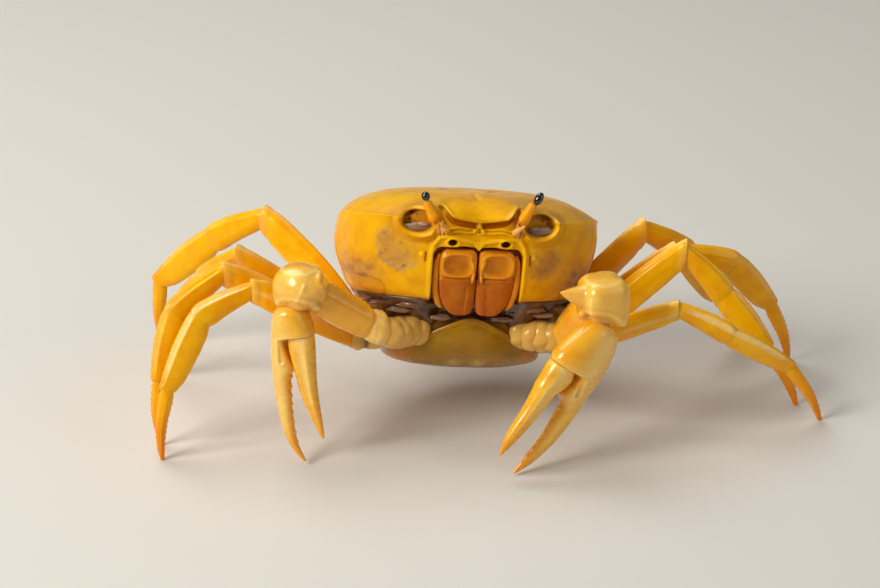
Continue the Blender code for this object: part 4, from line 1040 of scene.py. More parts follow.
ARM_MERUS = ((0.0, 1.6, 1.3, 0.0), (0.2, 2.0, 1.6, 0.0), (0.6, 2.35, 1.8, 0.15), (0.9, 2.15, 1.75, 0.4),
             (1.0, 1.8, 1.6, 0.45))
# How far before the elbow's middle the upper arm stops, the inner end of a claw arm's hip, and
# how boxy a palm's section is, where 2 is round
ARM_STOP = 1.4
ARM_COXA_START = (6.4, -6.6, -6.6)
PALM_SQUARENESS = 2.25


def claw_axes(claw):
    """Origin at the wrist, and unit vectors down the claw, towards its movable finger and through it."""
    wrist, tip = np.array(claw["wrist"]), np.array(claw["finger_tip"])
    axis = unit(tip - wrist)
    inward = np.array(claw["dactyl_tip"]) - tip
    inward = unit(inward - axis * (inward @ axis))
    return wrist, axis, inward, np.cross(axis, inward)


def grains(s, spacing):
    """Row of round grains along s, each from 0 to 1: sin^2 where the sine is positive."""
    return np.maximum(0.0, np.sin(2 * math.pi * s / spacing)) ** 2


def teeth_wave(s, spacing):
    """Row of blunt teeth along s, each from 0 to 1, a little uneven."""
    return np.maximum(0.0, np.sin(2 * math.pi * s / spacing + 0.6 * np.sin(s))) ** 1.5


def palm_grid(claw, tooth):
    """Palm with its fixed finger: sections across the claw between its outer and inner outline.

    The point at angle a of a section is the middle of the two outlines + half their distance
    times cos^p(a) along inward. Its height through the claw is half thickness times
    (1 - u^2.25)^(1 / 2.25), where u runs from -1 to 1 over the outlines of the uncut palm, which
    end 5 mm past the hinge. A lip, folds and a slender slot lie beside the finger's root.
    """
    wrist, axis, inward, through = claw_axes(claw)
    length = claw["outer"][-1][0]
    (s0, w0), (s1, w1) = claw["hinge"]
    s = np.concatenate([np.linspace(-1.0, s0 - 1.0, 50), np.linspace(s0 - 1.0, s0 + 5.6, 110)[1:],
                        np.linspace(s0 + 5.6, length, 84)[1:]])
    outer, inner = curve(claw["outer"], s)[:, :1], curve(claw["inner"], s)[:, :1]
    thick = curve(claw["thick"], s)[:, :1]
    a = ring_angles(80)
    cos, sin = np.cos(a), np.sin(a)
    across = (inner + outer) / 2 + (inner - outer) / 2 * superellipse(a, PALM_SQUARENESS)[0]
    s2 = np.broadcast_to(s[:, None], across.shape)
    below = smooth(s0 - 0.2, s0 + 0.3, s)[:, None]
    uncut = inner + below * np.maximum(w0 - inner, 0.0) * smooth(s1 + 5.0, s1, s)[:, None]
    u = np.clip((across - (uncut + outer) / 2) / ((uncut - outer) / 2), -1.0, 1.0)
    wall = 1.0 - below * (cos > 0.0) * (1.0 - np.abs(sin) ** 0.3)
    depth = thick * np.sign(sin) * (1.0 - np.abs(u) ** PALM_SQUARENESS) ** (1 / PALM_SQUARENESS) * wall
    face = np.abs(sin)[None, :] ** 1.5
    line = s0 + (w0 - across) * (s1 - s0) / (w0 - w1)
    inside = smooth(w1 - 0.6, w1 + 0.4, across)
    lip = bell(s2 - (line - 0.22), 0.1) * inside
    folds = bell(s2 - (line - 0.62), 0.09) * inside
    slot_distance = line_distance(s2, across, claw["slot"])
    slot = smooth(0.42, 0.08, slot_distance)
    slot_lip = bell(slot_distance - 0.5, 0.12)
    gape = smooth(s1 + 4.6, s1 + 5.6, s2) * smooth(length - 1.0, length - 3.0, s2)
    teeth = tooth * teeth_wave(s2, 1.25) * gape * bell(wrap(a)[None, :], 0.35)
    push = 0.06 * lip + 0.04 * folds - 0.22 * slot * face + 0.1 * slot_lip * face
    depth = depth + np.sign(sin) * push * face
    across = across + teeth + 0.1 * np.maximum(cos, 0.0) * lip
    points = wrist + s2[..., None] * axis + across[..., None] * inward + depth[..., None] * through
    paint = np.zeros(across.shape + (4,))
    tip = smooth(length - 7.0, length, s2)
    # Pale lip, folds and slot lip, and a broad pale band across the palm's faces that is a painted sheen.
    # Rust on the tip and in the slot, and towards the palm's edges as painted shade
    paint[..., 0] = (0.6 * lip + 0.45 * folds + 0.4 * slot_lip * face
                     + 0.65 * bell(across - claw["painted_sheen_across"], 1.7) * face * (1.0 - tip))
    paint[..., 2] = 0.6 * tip + 0.5 * slot * face + 0.25 * (1.0 - face)
    paint[..., 3] = (0.5 * smooth(0.05, 0.3, s2 - line) * smooth(w1 - 0.3, w1 + 0.2, across)
                     * smooth(s1 + 0.8, s1 + 0.2, s2))
    return points, paint


def dactyl_grid(claw, tooth):
    """Movable finger: sections on a bowed middle line, from the hinge's plane to the tip."""
    wrist, axis, inward, through = claw_axes(claw)
    (s0, w0), (s1, w1) = claw["hinge"]
    reach = np.array(claw["dactyl_tip"]) - wrist
    length = reach @ axis
    t = np.linspace(0.0, 1.0, 120)[:, None]
    a = ring_angles(60)
    turned = np.abs(wrap(a))
    middle, half, thick = (c[:, None] for c in curve(claw["dactyl"], t[:, 0]).T)
    cos, sin = superellipse(a, 2.3)
    teeth = (0.8 * tooth * teeth_wave(t * length, 1.3) * smooth(0.22, 0.32, t) * smooth(0.92, 0.8, t)
             * bell(turned - math.pi, 0.35))
    across = middle + half * cos - teeth
    ridge = (0.1 * bell(turned - 1.05, 0.16) - 0.08 * bell(turned - 1.5, 0.2)
             + 0.08 * bell(turned - 2.0, 0.18))
    ridge = ridge * smooth(0.04, 0.2, t) * smooth(0.95, 0.6, t)
    bow = (reach @ through) * t ** 1.5
    depth = thick * sin * (1.0 + ridge - 0.06 * smooth(0.1, 0.0, t)) + bow
    s = (s0 + (w0 - across) * (s1 - s0) / (w0 - w1) + 0.05) * (1.0 - t) + length * t
    points = wrist + s[..., None] * axis + across[..., None] * inward + depth[..., None] * through
    paint = np.zeros(across.shape + (4,))
    # A pale ring at the root, and a painted highlight in a long band down the finger's face
    paint[..., 0] = 0.3 * bell(t - 0.02, 0.03) + 0.6 * bell(turned - 1.3, 0.45) * smooth(0.95, 0.4, t)
    paint[..., 2] = 0.6 * smooth(0.55, 1.0, t) + 0.25 * bell(turned - math.pi, 0.5)
    return with_caps(points, paint, [(scale, out * 0.6) for scale, out in NECK], None)


def elbow_grid(claw):
    """Elbow piece: a boxy ball, r(d) = (sum |d_i / size_i|^n)^(-1 / n), drawn out to a spine.

    The spine adds (reach - r) (1 - angle / 0.5)^1.5 within 0.5 radians of its direction, and a
    small tooth stands below it. Its upper edge and the rim over the wrist are raised.
    """
    elbow, wrist, spine = (np.array(claw[key]) for key in ("elbow", "wrist", "spine"))
    ex = unit(spine * (1.0, 1.0, 0.0))
    axes = np.stack([ex, np.cross((0.0, 0.0, 1.0), ex), (0.0, 0.0, 1.0)])
    pole = unit(axes @ spine)
    side_axis = unit(np.cross(pole, (0.0, 0.0, 1.0)))
    up_axis = np.cross(side_axis, pole)
    polar = math.pi * np.linspace(0.0, 1.0, 110)[1:-1, None] ** 1.35
    a = ring_angles(100)[None, :, None]
    spokes = np.cos(a) * up_axis + np.sin(a) * side_axis
    d = np.cos(polar)[..., None] * pole + np.sin(polar)[..., None] * spokes
    n = claw["boxy"]
    r = (np.abs(d / np.array(claw["elbow_size"])) ** n).sum(-1) ** (-1.0 / n)
    point = np.clip(1.0 - polar / 0.5, 0.0, 1.0)
    r = r + (np.linalg.norm(spine) - r) * point ** 1.5
    second = unit(pole + np.array([0.0, 0.0, -0.85]))
    near = np.arccos(np.clip(d @ second, -1.0, 1.0))
    r = r + 0.6 * np.clip(1.0 - near / 0.24, 0.0, 1.0) ** 1.2
    down = unit(axes @ (wrist - elbow - (0.0, claw["open_front"], 0.0)))
    tilt = np.arccos(np.clip(d @ down, -1.0, 1.0))
    from_top = np.arccos(np.clip(d[..., 2], -1.0, 1.0))
    top_edge = bell(from_top - 0.62, 0.07)
    rim = bell(tilt - 0.92, 0.07)
    furrow = bell(tilt - 1.1, 0.07)
    x, y, z = np.moveaxis((r[..., None] * d) @ axes, -1, 0)
    front = smooth(0.0, -1.0, y)
    crease = bell(line_distance(x, z, claw["crease"]), 0.24) * front
    hollow = bell(np.hypot(x - claw["hollow"][0], z - claw["hollow"][1]), 1.0) * front
    r = r + 0.06 * top_edge + 0.02 * rim - 0.04 * furrow - 0.95 * smooth(1.0, 0.5, tilt)
    r = r + 0.13 * crease - 0.35 * hollow
    for nub_x, nub_z in claw["nubs"]:
        r = r + 0.35 * bell(np.hypot(x - nub_x, z - nub_z), 0.4)
    r = r + 0.012 * np.sin(37 * d[..., 0] + 3 * d[..., 1]) * np.sin(31 * d[..., 1]) * np.sin(35 * d[..., 2])
    points = elbow + (r[..., None] * d) @ axes
    paint = np.zeros(r.shape + (4,))
    # Painted highlights: pale on the top edge, the rim and the crease's ridge, and the front face, turned
    # to the lamps, painted lighter
    paint[..., 0] = 0.5 * top_edge + 0.15 * rim + 0.5 * crease + 0.3 * front
    paint[..., 1] = 0.3 * hollow
    paint[..., 2] = 0.4 * point + 0.4 * furrow
    paint[..., 3] = 0.7 * smooth(0.75, 0.5, tilt)
    return points, paint


def arm_relief(collar):
    """Upper arm of a claw: three edges, the upper one with grains, and a lumpy collar at its root."""
    def relief(t, a, length):
        """Millimetres pushed out at t along the arm and angle a, where 0 is its upper edge."""
        mid = smooth(0.02, 0.15, t - collar) * (1.0 - smooth(0.85, 0.99, t))
        out = (bell(a, 0.2) * (0.2 + 0.09 * grains(t * length, 0.7)) * mid
               + 0.16 * bell(np.abs(a) - 2.3, 0.25) * mid)
        out = out - 0.12 * bell(np.abs(a) - 0.7, 0.3) * mid
        if collar:
            out = out + (0.35 + 0.15 * np.sin(3 * a + 4 * t)) * bell(t - 0.5 * collar, 0.3 * collar)
            out = out - 0.25 * bell(t - collar, 0.02)
        return out + 0.12 * bell(t - 0.96, 0.025) - 0.1 * bell(t - 0.9, 0.025)
    return relief


def arm_grid(claw, side):
    """Upper arm of a claw from the shoulder to just short of the elbow's middle."""
    shoulder, elbow = np.array(claw["shoulder"]), np.array(claw["elbow"])
    starts = joint_planes([on_body(flipped(ARM_COXA_START, side)), shoulder, elbow])[1]
    along = unit(elbow - shoulder)
    stop = elbow - along * ARM_STOP
    rings, t, a = limb_grid(shoulder, stop, np.cross(along, (0.0, 0.0, 1.0)), ARM_MERUS, starts[1],
                            (stop, along), arm_relief(claw["collar"]), 90, 64, 2.5)
    paint = np.zeros(rings.shape[:2] + (4,))
    root = smooth(claw["collar"] + 0.01, claw["collar"] - 0.01, t)[:, None]
    paint[..., 2] = 0.25 * (1.0 - root)
    paint[..., 0] = 0.5 * root + 0.25 * root * np.sin(4 * a)[None, :] * np.sin(30 * t)[:, None]
    paint[..., 3] = 0.6 * root * smooth(0.8, 0.97, np.sin(38 * t[:, None] + 1.6 * np.sin(2 * a)[None, :]))
    return with_caps(rings, paint, NECK, BLUNT)


class CRAB_OT_claws(bpy.types.Operator):
    """Build both claw arms: upper arm, elbow piece with its spine, palm and movable finger"""
    bl_idname = "crab.claws"
    bl_label = "Claw arms"

    def execute(self, context):
        tooth = context.scene.crab_sizes.claw_teeth / MM
        for side, claw in CLAWS.items():
            for key, grid in (("merus", arm_grid(claw, side)), ("carpus", elbow_grid(claw)),
                              ("palm", palm_grid(claw, tooth)), ("dactyl", dactyl_grid(claw, tooth))):
                node = f"cheliped_{side}_{key}"
                make_piece(node + "_shell", finish_of("claws"), "claw", node, *grid)
        return {"FINISHED"}


# Walking legs

LEG_SIZE = {1: 0.97, 2: 1.0, 3: 1.03, 4: 1.12}
LEG_RINGS = {"merus": 96, "carpus": 64, "propodus": 84, "dactyl": 96}
# Place along the segment, half depth, half thickness and rise of the middle line
LEG_SECTIONS = {
    "merus": ((0.0, 1.3, 0.95, 0.0), (0.12, 1.65, 1.1, 0.1), (0.4, 2.0, 1.15, 0.25),
              (0.7, 1.95, 1.1, 0.25), (0.9, 1.75, 1.08, 0.15), (1.0, 1.5, 1.0, 0.0)),
    "carpus": ((0.0, 1.15, 0.85, 0.0), (0.15, 1.3, 0.95, 0.1), (0.55, 1.65, 1.08, 0.25),
               (0.9, 1.85, 1.05, 0.1), (1.0, 1.7, 0.95, 0.0)),
    "propodus": ((0.0, 1.62, 0.9, 0.0), (0.2, 1.85, 1.0, 0.0), (0.5, 1.85, 0.98, 0.0),
                 (0.85, 1.5, 0.85, -0.1), (1.0, 1.15, 0.72, 0.0)),
    "dactyl": ((0.0, 0.86, 0.7, 0.0), (0.12, 0.95, 0.76, 0.12), (0.5, 0.76, 0.62, 0.5),
               (0.8, 0.5, 0.42, 0.35), (1.0, 0.3, 0.3, 0.0)),
}


def leg_relief(part, grain):
    """Ridges, furrows and grains of a leg segment, in millimetres pushed out.

    Ridges are bells round fixed angles, where 0 is the upper edge and pi the lower one.
    Grains are rows of small bumps along the ridges.
    """
    def relief(t, a, length):
        """Millimetres pushed out at t along the segment and angle a."""
        mid = smooth(0.02, 0.14, t) * (1.0 - smooth(0.86, 0.99, t))
        s = t * length
        if part == "merus":
            out = bell(a, 0.2) * (0.16 + grain * grains(s, 0.62)) * mid
            out = out - 0.10 * bell(np.abs(a) - 0.55, 0.22) * mid
            out = out + (0.10 * bell(np.abs(a) - 2.55, 0.25) + 0.09 * bell(np.abs(a) - 1.45, 0.1)) * mid
            return out + bell(t - 0.975, 0.025) * 0.06 - bell(t - 0.925, 0.03) * 0.05
        if part == "carpus":
            out = bell(np.abs(a) - 0.18, 0.12) * 0.10 * mid
            out = out + bell(np.abs(a) - 0.95, 0.13) * (0.11 + grain * grains(s, 0.55)) * mid
            return out - 0.11 * bell(np.abs(a) - 0.55, 0.22) * mid
        if part == "propodus":
            grain_row = grain * grains(s, 0.6)
            out = bell(np.abs(a) - 0.16, 0.12) * (0.08 + grain_row) * mid
            out = out + bell(np.abs(a) - 0.95, 0.12) * (0.11 + grain_row) * mid
            out = out - 0.12 * bell(np.abs(a) - 0.55, 0.22) * mid
            return out + 0.08 * bell(np.abs(a) - 2.9, 0.12) * mid + bell(t - 0.97, 0.02) * 0.07
        spines = 1.8 * grain * grains(s, 0.85) ** 3 * smooth(0.06, 0.15, t) * (1 - smooth(0.8, 0.92, t))
        ridge = bell(a, 0.2) + bell(np.abs(a) - 1.57, 0.2) + bell(np.abs(a) - 3.14, 0.2)
        return ridge * (0.05 * mid + spines) - 0.03 * (1 - ridge) * mid
    return relief


def paint_leg(part, number, t, a):
    """Paint of a leg segment: pale ends at the knee and on the ridges, rust towards the tips."""
    t, a = np.broadcast_arrays(t[:, None], wrap(a)[None, :])
    paint = np.zeros(t.shape + (4,))
    # Flat upper facets, palest on the front legs: partly wear, partly a painted sheen where they catch the
    # light
    facet = smooth(0.15, 0.3, np.abs(a)) * smooth(1.0, 0.85, np.abs(a)) * (0.8 if number == 1 else 0.25)
    wear_and_sheen = facet * (0.8 + 0.2 * np.sin(13 * t + 4 * a) * np.sin(29 * t - 7 * a))
    if part == "merus":
        ridge = 0.4 * bell(np.abs(a) - 1.45, 0.14) * smooth(0.1, 0.4, t) * (number == 1)
        paint[..., 0] = 0.4 * bell(a, 0.3) * smooth(0.5, 0.95, t) + ridge + 0.12 * smooth(0.9, 0.97, t)
        paint[..., 2] = 0.45 * (1.0 - smooth(0.0, 0.6, t))
    elif part == "carpus":
        paint[..., 0] = wear_and_sheen * smooth(0.0, 0.4, t) * (1.0 if number == 1 else smooth(0.4, 1.0, t))
        paint[..., 3] = 0.4 * smooth(0.06, 0.02, t)
    elif part == "propodus":
        paint[..., 0] = wear_and_sheen * smooth(1.0, 0.7, t)
        paint[..., 2] = 0.3 * smooth(0.7, 1.0, t)
    else:
        paint[..., 2] = 0.2 + 0.8 * smooth(0.1, 1.0, t)
    return paint


def leg_segments(side, number, grain):
    """Grids and paint of the four segments of one walking leg."""
    points = leg_points(side, number)
    ends, starts = joint_planes(points)
    floor = (np.zeros(3), np.array([0.0, 0.0, 1.0]))
    size = LEG_SIZE[number]
    # The leg bends in the plane of its merus and propodus, and is thin across that plane
    across = np.cross(points[2] - points[1], points[4] - points[3])
    made = {}
    for i, part in enumerate(LEG_PARTS):
        rows = [(t, d * size, w * size, r * size) for t, d, w, r in LEG_SECTIONS[part]]
        end_plane = floor if part == "dactyl" else ends[i + 2]
        rings, t, a = limb_grid(points[i + 1], points[i + 2], across, rows, starts[i + 1], end_plane,
                                leg_relief(part, grain), LEG_RINGS[part], 56)
        paint = paint_leg(part, number, t, a)
        made[part] = with_caps(rings, paint, NECK, None if part == "dactyl" else SOCKET)
    return made


class CRAB_OT_legs(bpy.types.Operator):
    """Build the four segments of each walking leg, with ridges, grains and jointed ends"""
    bl_idname = "crab.legs"
    bl_label = "Walking legs"

    def execute(self, context):
        grain = context.scene.crab_sizes.leg_grain / MM
        for side, number in POSE:
            for part, grid in leg_segments(side, number, grain).items():
                node = f"leg_{side}_{number}_{part}"
                make_piece(node + "_shell", finish_of("legs"), "leg", node, *grid)
        return {"FINISHED"}


# Under side and soft skin

# Where each joint of the tail plate crosses its middle, and how wide its bow is
PLEON_SUTURES = ((-5.6, 26.0), (-1.8, 40.0), (1.8, 60.0), (4.8, 90.0), (7.6, 140.0), (10.2, 300.0))


def pleon_grid():
    """Folded tail plate: a dome below its rim, and a shallow inner face above it, in the body's frame.

    Below the rim the height is rim + (lowest - rim) (1 - r^2.6)^(1 / 2.2), with r from 0 at the
    middle to 1 at the rim. Arcs y = y0 + x^2 / bow are where one tail segment meets the next.
    """
    loop = whole_loop(PLEON_RIM)
    rim = loop_curve(loop, np.linspace(0, len(loop), 201)[:-1])
    centre = np.array(PLEON_CENTRE)
    out, edge = rim[:, :2] - centre, rim[:, 2] + PLEON_THICKNESS
    r = np.sin(np.linspace(0.02, math.pi / 2, 76))[:, None]
    lower = raised(centre + out * r[..., None],
                   rim[:, 2] + (PLEON_LOWEST - rim[:, 2]) * (1.0 - r ** 2.6) ** (1 / 2.2))
    k = np.linspace(0.0, math.pi, 8)[1:-1, None]
    side = raised(centre + out * (1.0 + 0.015 * np.sin(k))[..., None],
                  rim[:, 2] + PLEON_THICKNESS / 2 * (1.0 - np.cos(k)))
    r = np.array([0.99, 0.95, 0.85, 0.7, 0.5, 0.3, 0.1])[:, None]
    upper = raised(centre + out * r[..., None], edge + (PLEON_INNER_MIDDLE - edge) * (1.0 - r ** 2))
    x, y = lower[..., 0], lower[..., 1]
    paint = np.zeros(x.shape + (4,))
    push = np.zeros_like(x)
    for y0, bow in PLEON_SUTURES:
        d = y - (y0 + x ** 2 / bow)
        push += 0.22 * bell(d, 0.2) - 0.08 * bell(d + 0.45, 0.25)
        paint[..., 0] = np.maximum(paint[..., 0], 0.4 * bell(d + 0.35, 0.15))
        paint[..., 1] = np.maximum(paint[..., 1], 0.55 * bell(d, 0.25))
    lower[..., 2] += push
    spots = bell(np.hypot(np.abs(x) - 1.7, (y + 5.6) * 0.7), 0.9)
    line = 0.7 * bell(y - (1.9 + x ** 2 / -16.0), 0.2) * smooth(8.0, 6.0, np.abs(x))
    paint[..., 0] = np.maximum(paint[..., 0], np.maximum(0.55 * spots, line))
    paint[..., 2] = 0.75 * smooth(6.0, 9.5, np.abs(x)) + 0.45 * smooth(-5.0, -2.0, y)
    plain = np.zeros((len(side) + len(upper), x.shape[1], 4))
    return np.concatenate([lower, side, upper]), np.concatenate([paint, plain])


# Breast plate: its middle from above, its half width and half length, and rows of scale and
# height down its walls
STERNUM_CENTRE = (0.0, 1.8)
STERNUM_HALF_SIZE = (10.6, 10.2)
STERNUM_WALLS = ((0.2, -3.4), (0.6, -3.4), (0.9, -3.4), (0.96, -3.7), (0.99, -4.6), (1.0, -5.9),
                 (0.99, -7.2), (0.97, -8.2))
# Lumps of a claw arm's hip: share of the way to the shoulder, radii and seed
CLAW_HIP_LUMPS = ((0.15, (2.1, 2.1, 2.2), 1.0), (0.42, (2.35, 2.1, 2.2), 4.2),
                  (0.66, (2.1, 2.25, 2.15), 0.4), (0.9, (2.2, 2.05, 2.1), 2.5))


def sternum_grid():
    """Breast plate: a rounded box between the limbs with a hollow for the tail plate, in the body's frame.

    A superellipse outline is stacked up; inside the tail plate's rim the floor of the box rises to
    a bowl (1 - r^2) deep.
    """
    cos, sin = superellipse(ring_angles(200), 3.0)
    outline = np.stack([STERNUM_HALF_SIZE[0] * sin, STERNUM_HALF_SIZE[1] * cos], -1)
    walls = np.array(STERNUM_WALLS)
    floor = np.linspace(0.95, 0.05, 60)
    scale = np.concatenate([walls[:, 0], floor])[:, None, None]
    level = np.concatenate([walls[:, 1], -8.9 + 0.7 * floor ** 6])[:, None]
    grid = raised(outline * scale + STERNUM_CENTRE, level)
    x, y = grid[..., 0], grid[..., 1]
    loop = whole_loop(PLEON_RIM)
    rim = loop_curve(loop, np.linspace(0, len(loop), 181)[:-1])
    out = rim[:, :2] - PLEON_CENTRE
    angle = np.arctan2(out[:, 1], out[:, 0])
    order = np.argsort(angle)
    here = np.arctan2(y - PLEON_CENTRE[1], x - PLEON_CENTRE[0])
    reach, edge = (np.interp(here, angle[order], values[order], period=2 * math.pi)
                   for values in (np.hypot(out[:, 0], out[:, 1]), rim[:, 2]))
    r = np.hypot(x - PLEON_CENTRE[0], y - PLEON_CENTRE[1]) / reach
    bowl = edge + 1.1 + (PLEON_INNER_MIDDLE + 0.5 - edge - 1.1) * (1.0 - np.clip(r, 0.0, 1.0) ** 2)
    hollow = smooth(1.08, 1.0, r) * (np.arange(len(grid)) >= len(walls))[:, None]
    grid[..., 2] = grid[..., 2] * (1.0 - hollow) + np.maximum(grid[..., 2], bowl) * hollow
    paint = np.zeros(x.shape + (4,))
    paint[..., 1] = 0.3
    paint[..., 3] = 0.6 * smooth(-5.5, -7.5, y)
    return grid, paint


def hip_relief(t, a, length):
    """Hip of a walking leg: soft lumps and a raised collar at the outer end."""
    return (0.1 * np.sin(3 * a + 5 * t) * np.sin(7 * t + a) + 0.18 * bell(t - 0.9, 0.05)
            - 0.2 * bell(t - 0.76, 0.05) + 0.14 * bell(t - 0.55, 0.08))


def leg_hip(side, number):
    """Hip of a walking leg, from inside the breast plate to its first joint."""
    points = leg_points(side, number)
    rows = ((0.0, 1.5, 1.5, 0.0), (0.45, 1.95, 1.9, 0.0), (0.85, 1.95, 1.7, 0.0), (1.0, 1.5, 1.2, 0.0))
    start_plane = (points[0], unit(points[1] - points[0]))
    rings, t, a = limb_grid(points[0], points[1], np.array([0.0, 1.0, 0.0]), rows, start_plane,
                            joint_planes(points)[0][1], hip_relief, 56, 52)
    paint = np.zeros(rings.shape[:2] + (4,))
    paint[..., 0] = 0.7 + 0.3 * np.sin(3 * a)[None, :] * np.sin(6 * t)[:, None]
    paint[..., 3] = 0.85 * (bell(t - 0.76, 0.05) + smooth(0.5, 0.2, t))[:, None]
    return with_caps(rings, paint, BLUNT, SOCKET)


class CRAB_OT_underside(bpy.types.Operator):
    """Build the folded tail plate, the breast plate and the hips of all ten limbs"""
    bl_idname = "crab.underside"
    bl_label = "Under side"

    def execute(self, context):
        grid, paint = pleon_grid()
        make_piece("abdomen_shell", finish_of("under"), "under", "abdomen", on_body(grid), paint)
        sheet = Sheet()
        grid, paint = sternum_grid()
        sheet.tube(on_body(grid), paint)
        for side in ("left", "right"):
            for number in LEG_ROOTS:
                sheet.tube(*leg_hip(side, number))
            inner, shoulder = on_body(flipped(ARM_COXA_START, side)), np.array(CLAWS[side]["shoulder"])
            for along, radii, seed in CLAW_HIP_LUMPS:
                lump = lump_grid(inner + (shoulder - inner) * along, radii, seed, 0.045, rows=44, sides=60)
                sheet.tube(lump, plain_paint(lump, pale=0.7, rust=0.3))
        sheet.piece("sternum_and_hips", finish_of("under"), "under", "sternum")
        return {"FINISHED"}


# Centre and radii in the body's frame, drawn for the left side, then how pale it is. The first
# few, at the feeler's foot, are rusty.
FEELER_LUMPS = 3
SOFT_LUMPS = (
    ((5.0, -13.0, 7.5), (0.3, 0.35, 1.0), 0.5), ((5.5, -12.85, 7.1), (0.26, 0.3, 0.75), 0.35),
    ((6.1, -12.75, 6.7), (0.55, 0.28, 0.24), 0.5), ((8.1, -11.5, 7.35), (1.7, 0.5, 0.7), 0.2),
    ((7.4, -11.7, 7.75), (0.8, 0.4, 0.3), 0.45), ((8.0, -9.5, -3.2), (1.9, 0.8, 0.45), 0.05),
    ((9.6, -9.0, -3.9), (1.7, 0.7, 0.4), 0.15), ((11.9, -7.9, -3.2), (1.8, 0.8, 0.45), 0.0),
    ((4.2, -9.1, -4.7), (1.5, 0.5, 0.4), 0.1), ((13.9, -5.6, -3.0), (1.2, 1.4, 0.6), 0.1),
)


# How far below the shell's foot the skin reaches
SKIRT_HEIGHT = 4.0


def skirt_grid():
    """Band of skin that closes the space between the shell's margin and the breast plate.

    Copies of the shell's outline, drawn in from its foot to about 0.62 of its width, stand one
    below the other, with two small waves across them. Behind the mouth they are drawn in more.
    """
    outline = loop_curve(whole_loop(SHELL_OUTLINE), np.linspace(0, 24, 241)[:-1])
    steps = np.linspace(0.0, 1.0, 24)[:, None, None]
    behind_mouth = smooth(8.4, 6.6, np.abs(outline[:, :1])) * smooth(0.0, -6.0, outline[:, 1:])
    reach = 0.868 - 0.24 * steps ** 1.5 - 0.14 * behind_mouth * (1.0 - 0.4 * steps)
    x = outline[:, :1]
    ripple = (0.016 * np.sin(9.0 * steps + 0.4 * x) * np.sin(1.1 * x)
              + 0.009 * np.sin(23.0 * steps - 0.9 * x) * np.sin(3.7 * x + 6.0 * steps))
    ripple = ripple * smooth(0.05, 0.3, steps)
    grid = raised(outline * (reach + ripple), SHELL_BOTTOM + 0.2 - SKIRT_HEIGHT * steps[..., 0])
    return grid, np.broadcast_to((0.0, 0.45, 0.0, 0.2), grid.shape[:2] + (4,))


class CRAB_OT_soft_skin(bpy.types.Operator):
    """Build the wet skin in the eye sockets, at the feelers, below the shell and in the claw hips"""
    bl_idname = "crab.soft_skin"
    bl_label = "Soft skin"

    def execute(self, context):
        sheet = Sheet()
        grid, paint = skirt_grid()
        sheet.tube(on_body(grid), paint)
        for side in ("left", "right"):
            for number, (centre, radii, pale) in enumerate(SOFT_LUMPS):
                lump = lump_grid(centre, radii, number + side_sign(side), 0.14)
                paint = plain_paint(lump, pale=pale, rust=0.7 * (number < FEELER_LUMPS))
                sheet.tube(on_body(flipped(lump, side)), paint)
            inner, shoulder = on_body(flipped(ARM_COXA_START, side)), np.array(CLAWS[side]["shoulder"])
            lump = lump_grid(inner + (shoulder - inner) * 0.5, (1.6, 1.55, 1.9), 4.0)
            sheet.tube(lump, plain_paint(lump, pale=0.3, rust=0.4))
        sheet.piece("soft_skin", finish_of("soft"), "under")
        return {"FINISHED"}


# Stage

# Degrees round from straight in front and up, lens and distance in millimetres, and where the
# point STAGE_HEIGHT above the floor falls in the picture
CAMERA = {"azimuth": -10.0, "elevation": 24.0, "lens": 105.0, "distance": 350.0,
          "centre_px": (468.0, 278.0)}
PICTURE = (880.0, 588.0)
STAGE_HEIGHT = 18.5
SENSOR_WIDTH = 36.0
# Half the floor's side, and the point that the lamps look at, in metres
FLOOR_HALF = 1.2
LAMP_AIM = (0.0, 0.0, 0.015)


def facing(direction):
    """Rotation that turns a lamp or camera to look along direction."""
    return Vector(direction).to_track_quat("-Z", "Y").to_euler()


def make_floor(scene):
    """Pale paper floor, a little rough, so that it takes soft shadows and no glare."""
    mesh = bpy.data.meshes.new("studio_floor")
    corners = [(x * FLOOR_HALF, y * FLOOR_HALF, 0) for x, y in ((-1, -1), (1, -1), (1, 1), (-1, 1))]
    mesh.from_pydata(corners, [], [(0, 1, 2, 3)])
    paper = bpy.data.materials.new("studio_paper")
    paper.use_nodes = True
    fill(paper.node_tree, paper.node_tree.nodes["Principled BSDF"],
         {"Base Color": scene.crab_colours.floor, "Roughness": 0.85})
    mesh.materials.append(paper)
    floor = bpy.data.objects.new("studio_floor", mesh)
    scene.collection.objects.link(floor)


def make_lamp(scene, name, place, size, power, colour):
    """Round lamp at place, in metres, that looks at the crab."""
    light = bpy.data.lights.new(name, "AREA")
    light.shape = "DISK"
    light.size, light.energy, light.color = size, power, colour
    lamp = bpy.data.objects.new(name, light)
    lamp.location = place
    lamp.rotation_euler = facing(Vector(LAMP_AIM) - Vector(place))
    scene.collection.objects.link(lamp)


def make_camera(scene):
    """Camera at the photo's angle."""
    a, e = math.radians(CAMERA["azimuth"]), math.radians(CAMERA["elevation"])
    back = np.array([math.sin(a) * math.cos(e), -math.cos(a) * math.cos(e), math.sin(e)])
    data = bpy.data.cameras.new("camera")
    data.lens, data.sensor_width = CAMERA["lens"], SENSOR_WIDTH
    data.clip_start, data.clip_end = 0.02, 10.0
    data.shift_x = -(CAMERA["centre_px"][0] - PICTURE[0] / 2) / PICTURE[0]
    data.shift_y = (CAMERA["centre_px"][1] - PICTURE[1] / 2) / PICTURE[0]
    camera = bpy.data.objects.new("camera", data)
    camera.location = (SHIFT + (0.0, 0.0, STAGE_HEIGHT) + back * CAMERA["distance"]) * MM
    camera.rotation_euler = facing(-back)
    scene.collection.objects.link(camera)
    scene.camera = camera


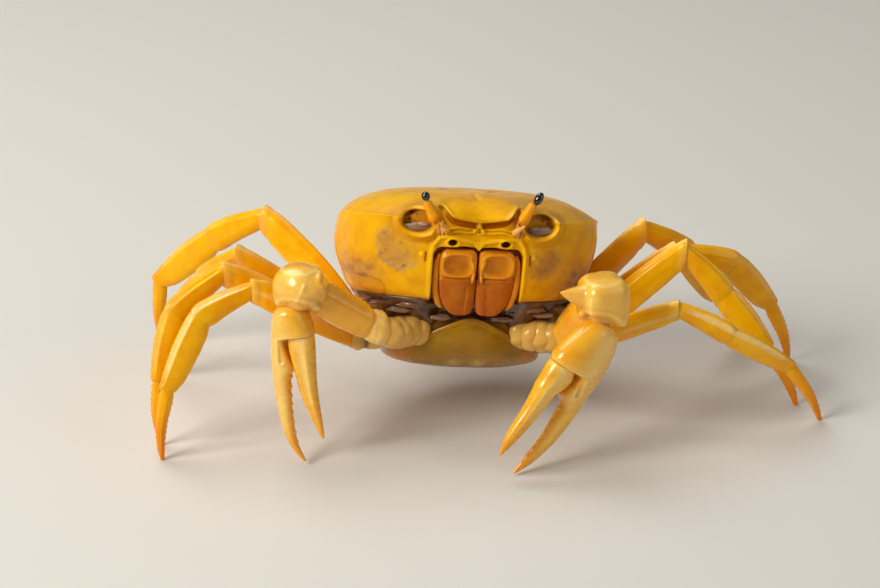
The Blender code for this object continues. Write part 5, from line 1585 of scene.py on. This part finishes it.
class CRAB_OT_stage(bpy.types.Operator):
    """Lay the pale floor and set the soft studio lights and the camera"""
    bl_idname = "crab.stage"
    bl_label = "Stage"

    def execute(self, context):
        scene = context.scene
        make_floor(scene)
        make_lamp(scene, "key", (-0.40, -0.17, 0.31), 0.26, scene.crab_sizes.key_power, (1.0, 0.97, 0.9))
        make_lamp(scene, "fill", (0.4, -0.32, 0.28), 0.4, 0.45, (1.0, 0.98, 0.94))
        make_lamp(scene, "top", (-0.14, 0.2, 0.44), 0.34, 1.15, (1.0, 0.98, 0.94))
        world = bpy.data.worlds.new("studio")
        world.use_nodes = True
        fill(world.node_tree, world.node_tree.nodes["Background"],
             {"Color": linear("#E8E6E2"), "Strength": 0.2})
        scene.world = world
        # Plain sRGB view, so that the strong yellows come out as they are written
        scene.view_settings.view_transform = "Standard"
        make_camera(scene)
        return {"FINISHED"}


# Add-on

OPERATORS = (CRAB_OT_carapace, CRAB_OT_mouth_and_eyes, CRAB_OT_soft_skin, CRAB_OT_underside, CRAB_OT_claws,
             CRAB_OT_legs, CRAB_OT_stage)


class CRAB_PT_panel(bpy.types.Panel):
    """Sizes and colours of the crab, and buttons that build it"""
    bl_idname = "CRAB_PT_panel"
    bl_label = "Terrathelphusa crab"
    bl_space_type = "VIEW_3D"
    bl_region_type = "UI"
    bl_category = "Crab"

    def draw(self, context):
        for group in (context.scene.crab_sizes, context.scene.crab_colours):
            for name in type(group).__annotations__:
                self.layout.prop(group, name)
        for operator in OPERATORS:
            self.layout.operator(operator.bl_idname)


CLASSES = (CrabColours, CrabSizes, *OPERATORS, CRAB_PT_panel)


def register():
    """Make the classes known, and put the settings on the scene."""
    for cls in CLASSES:
        bpy.utils.register_class(cls)
    bpy.types.Scene.crab_colours = bpy.props.PointerProperty(type=CrabColours)
    bpy.types.Scene.crab_sizes = bpy.props.PointerProperty(type=CrabSizes)


def unregister():
    """Undo what register does."""
    del bpy.types.Scene.crab_sizes, bpy.types.Scene.crab_colours
    for cls in reversed(CLASSES):
        bpy.utils.unregister_class(cls)


def main():
    """Build every piece and the stage."""
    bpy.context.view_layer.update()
    register()
    bpy.ops.crab.carapace()
    bpy.ops.crab.mouth_and_eyes()
    bpy.ops.crab.soft_skin()
    bpy.ops.crab.underside()
    bpy.ops.crab.claws()
    bpy.ops.crab.legs()
    bpy.ops.crab.stage()


if __name__ == "__main__":
    main()
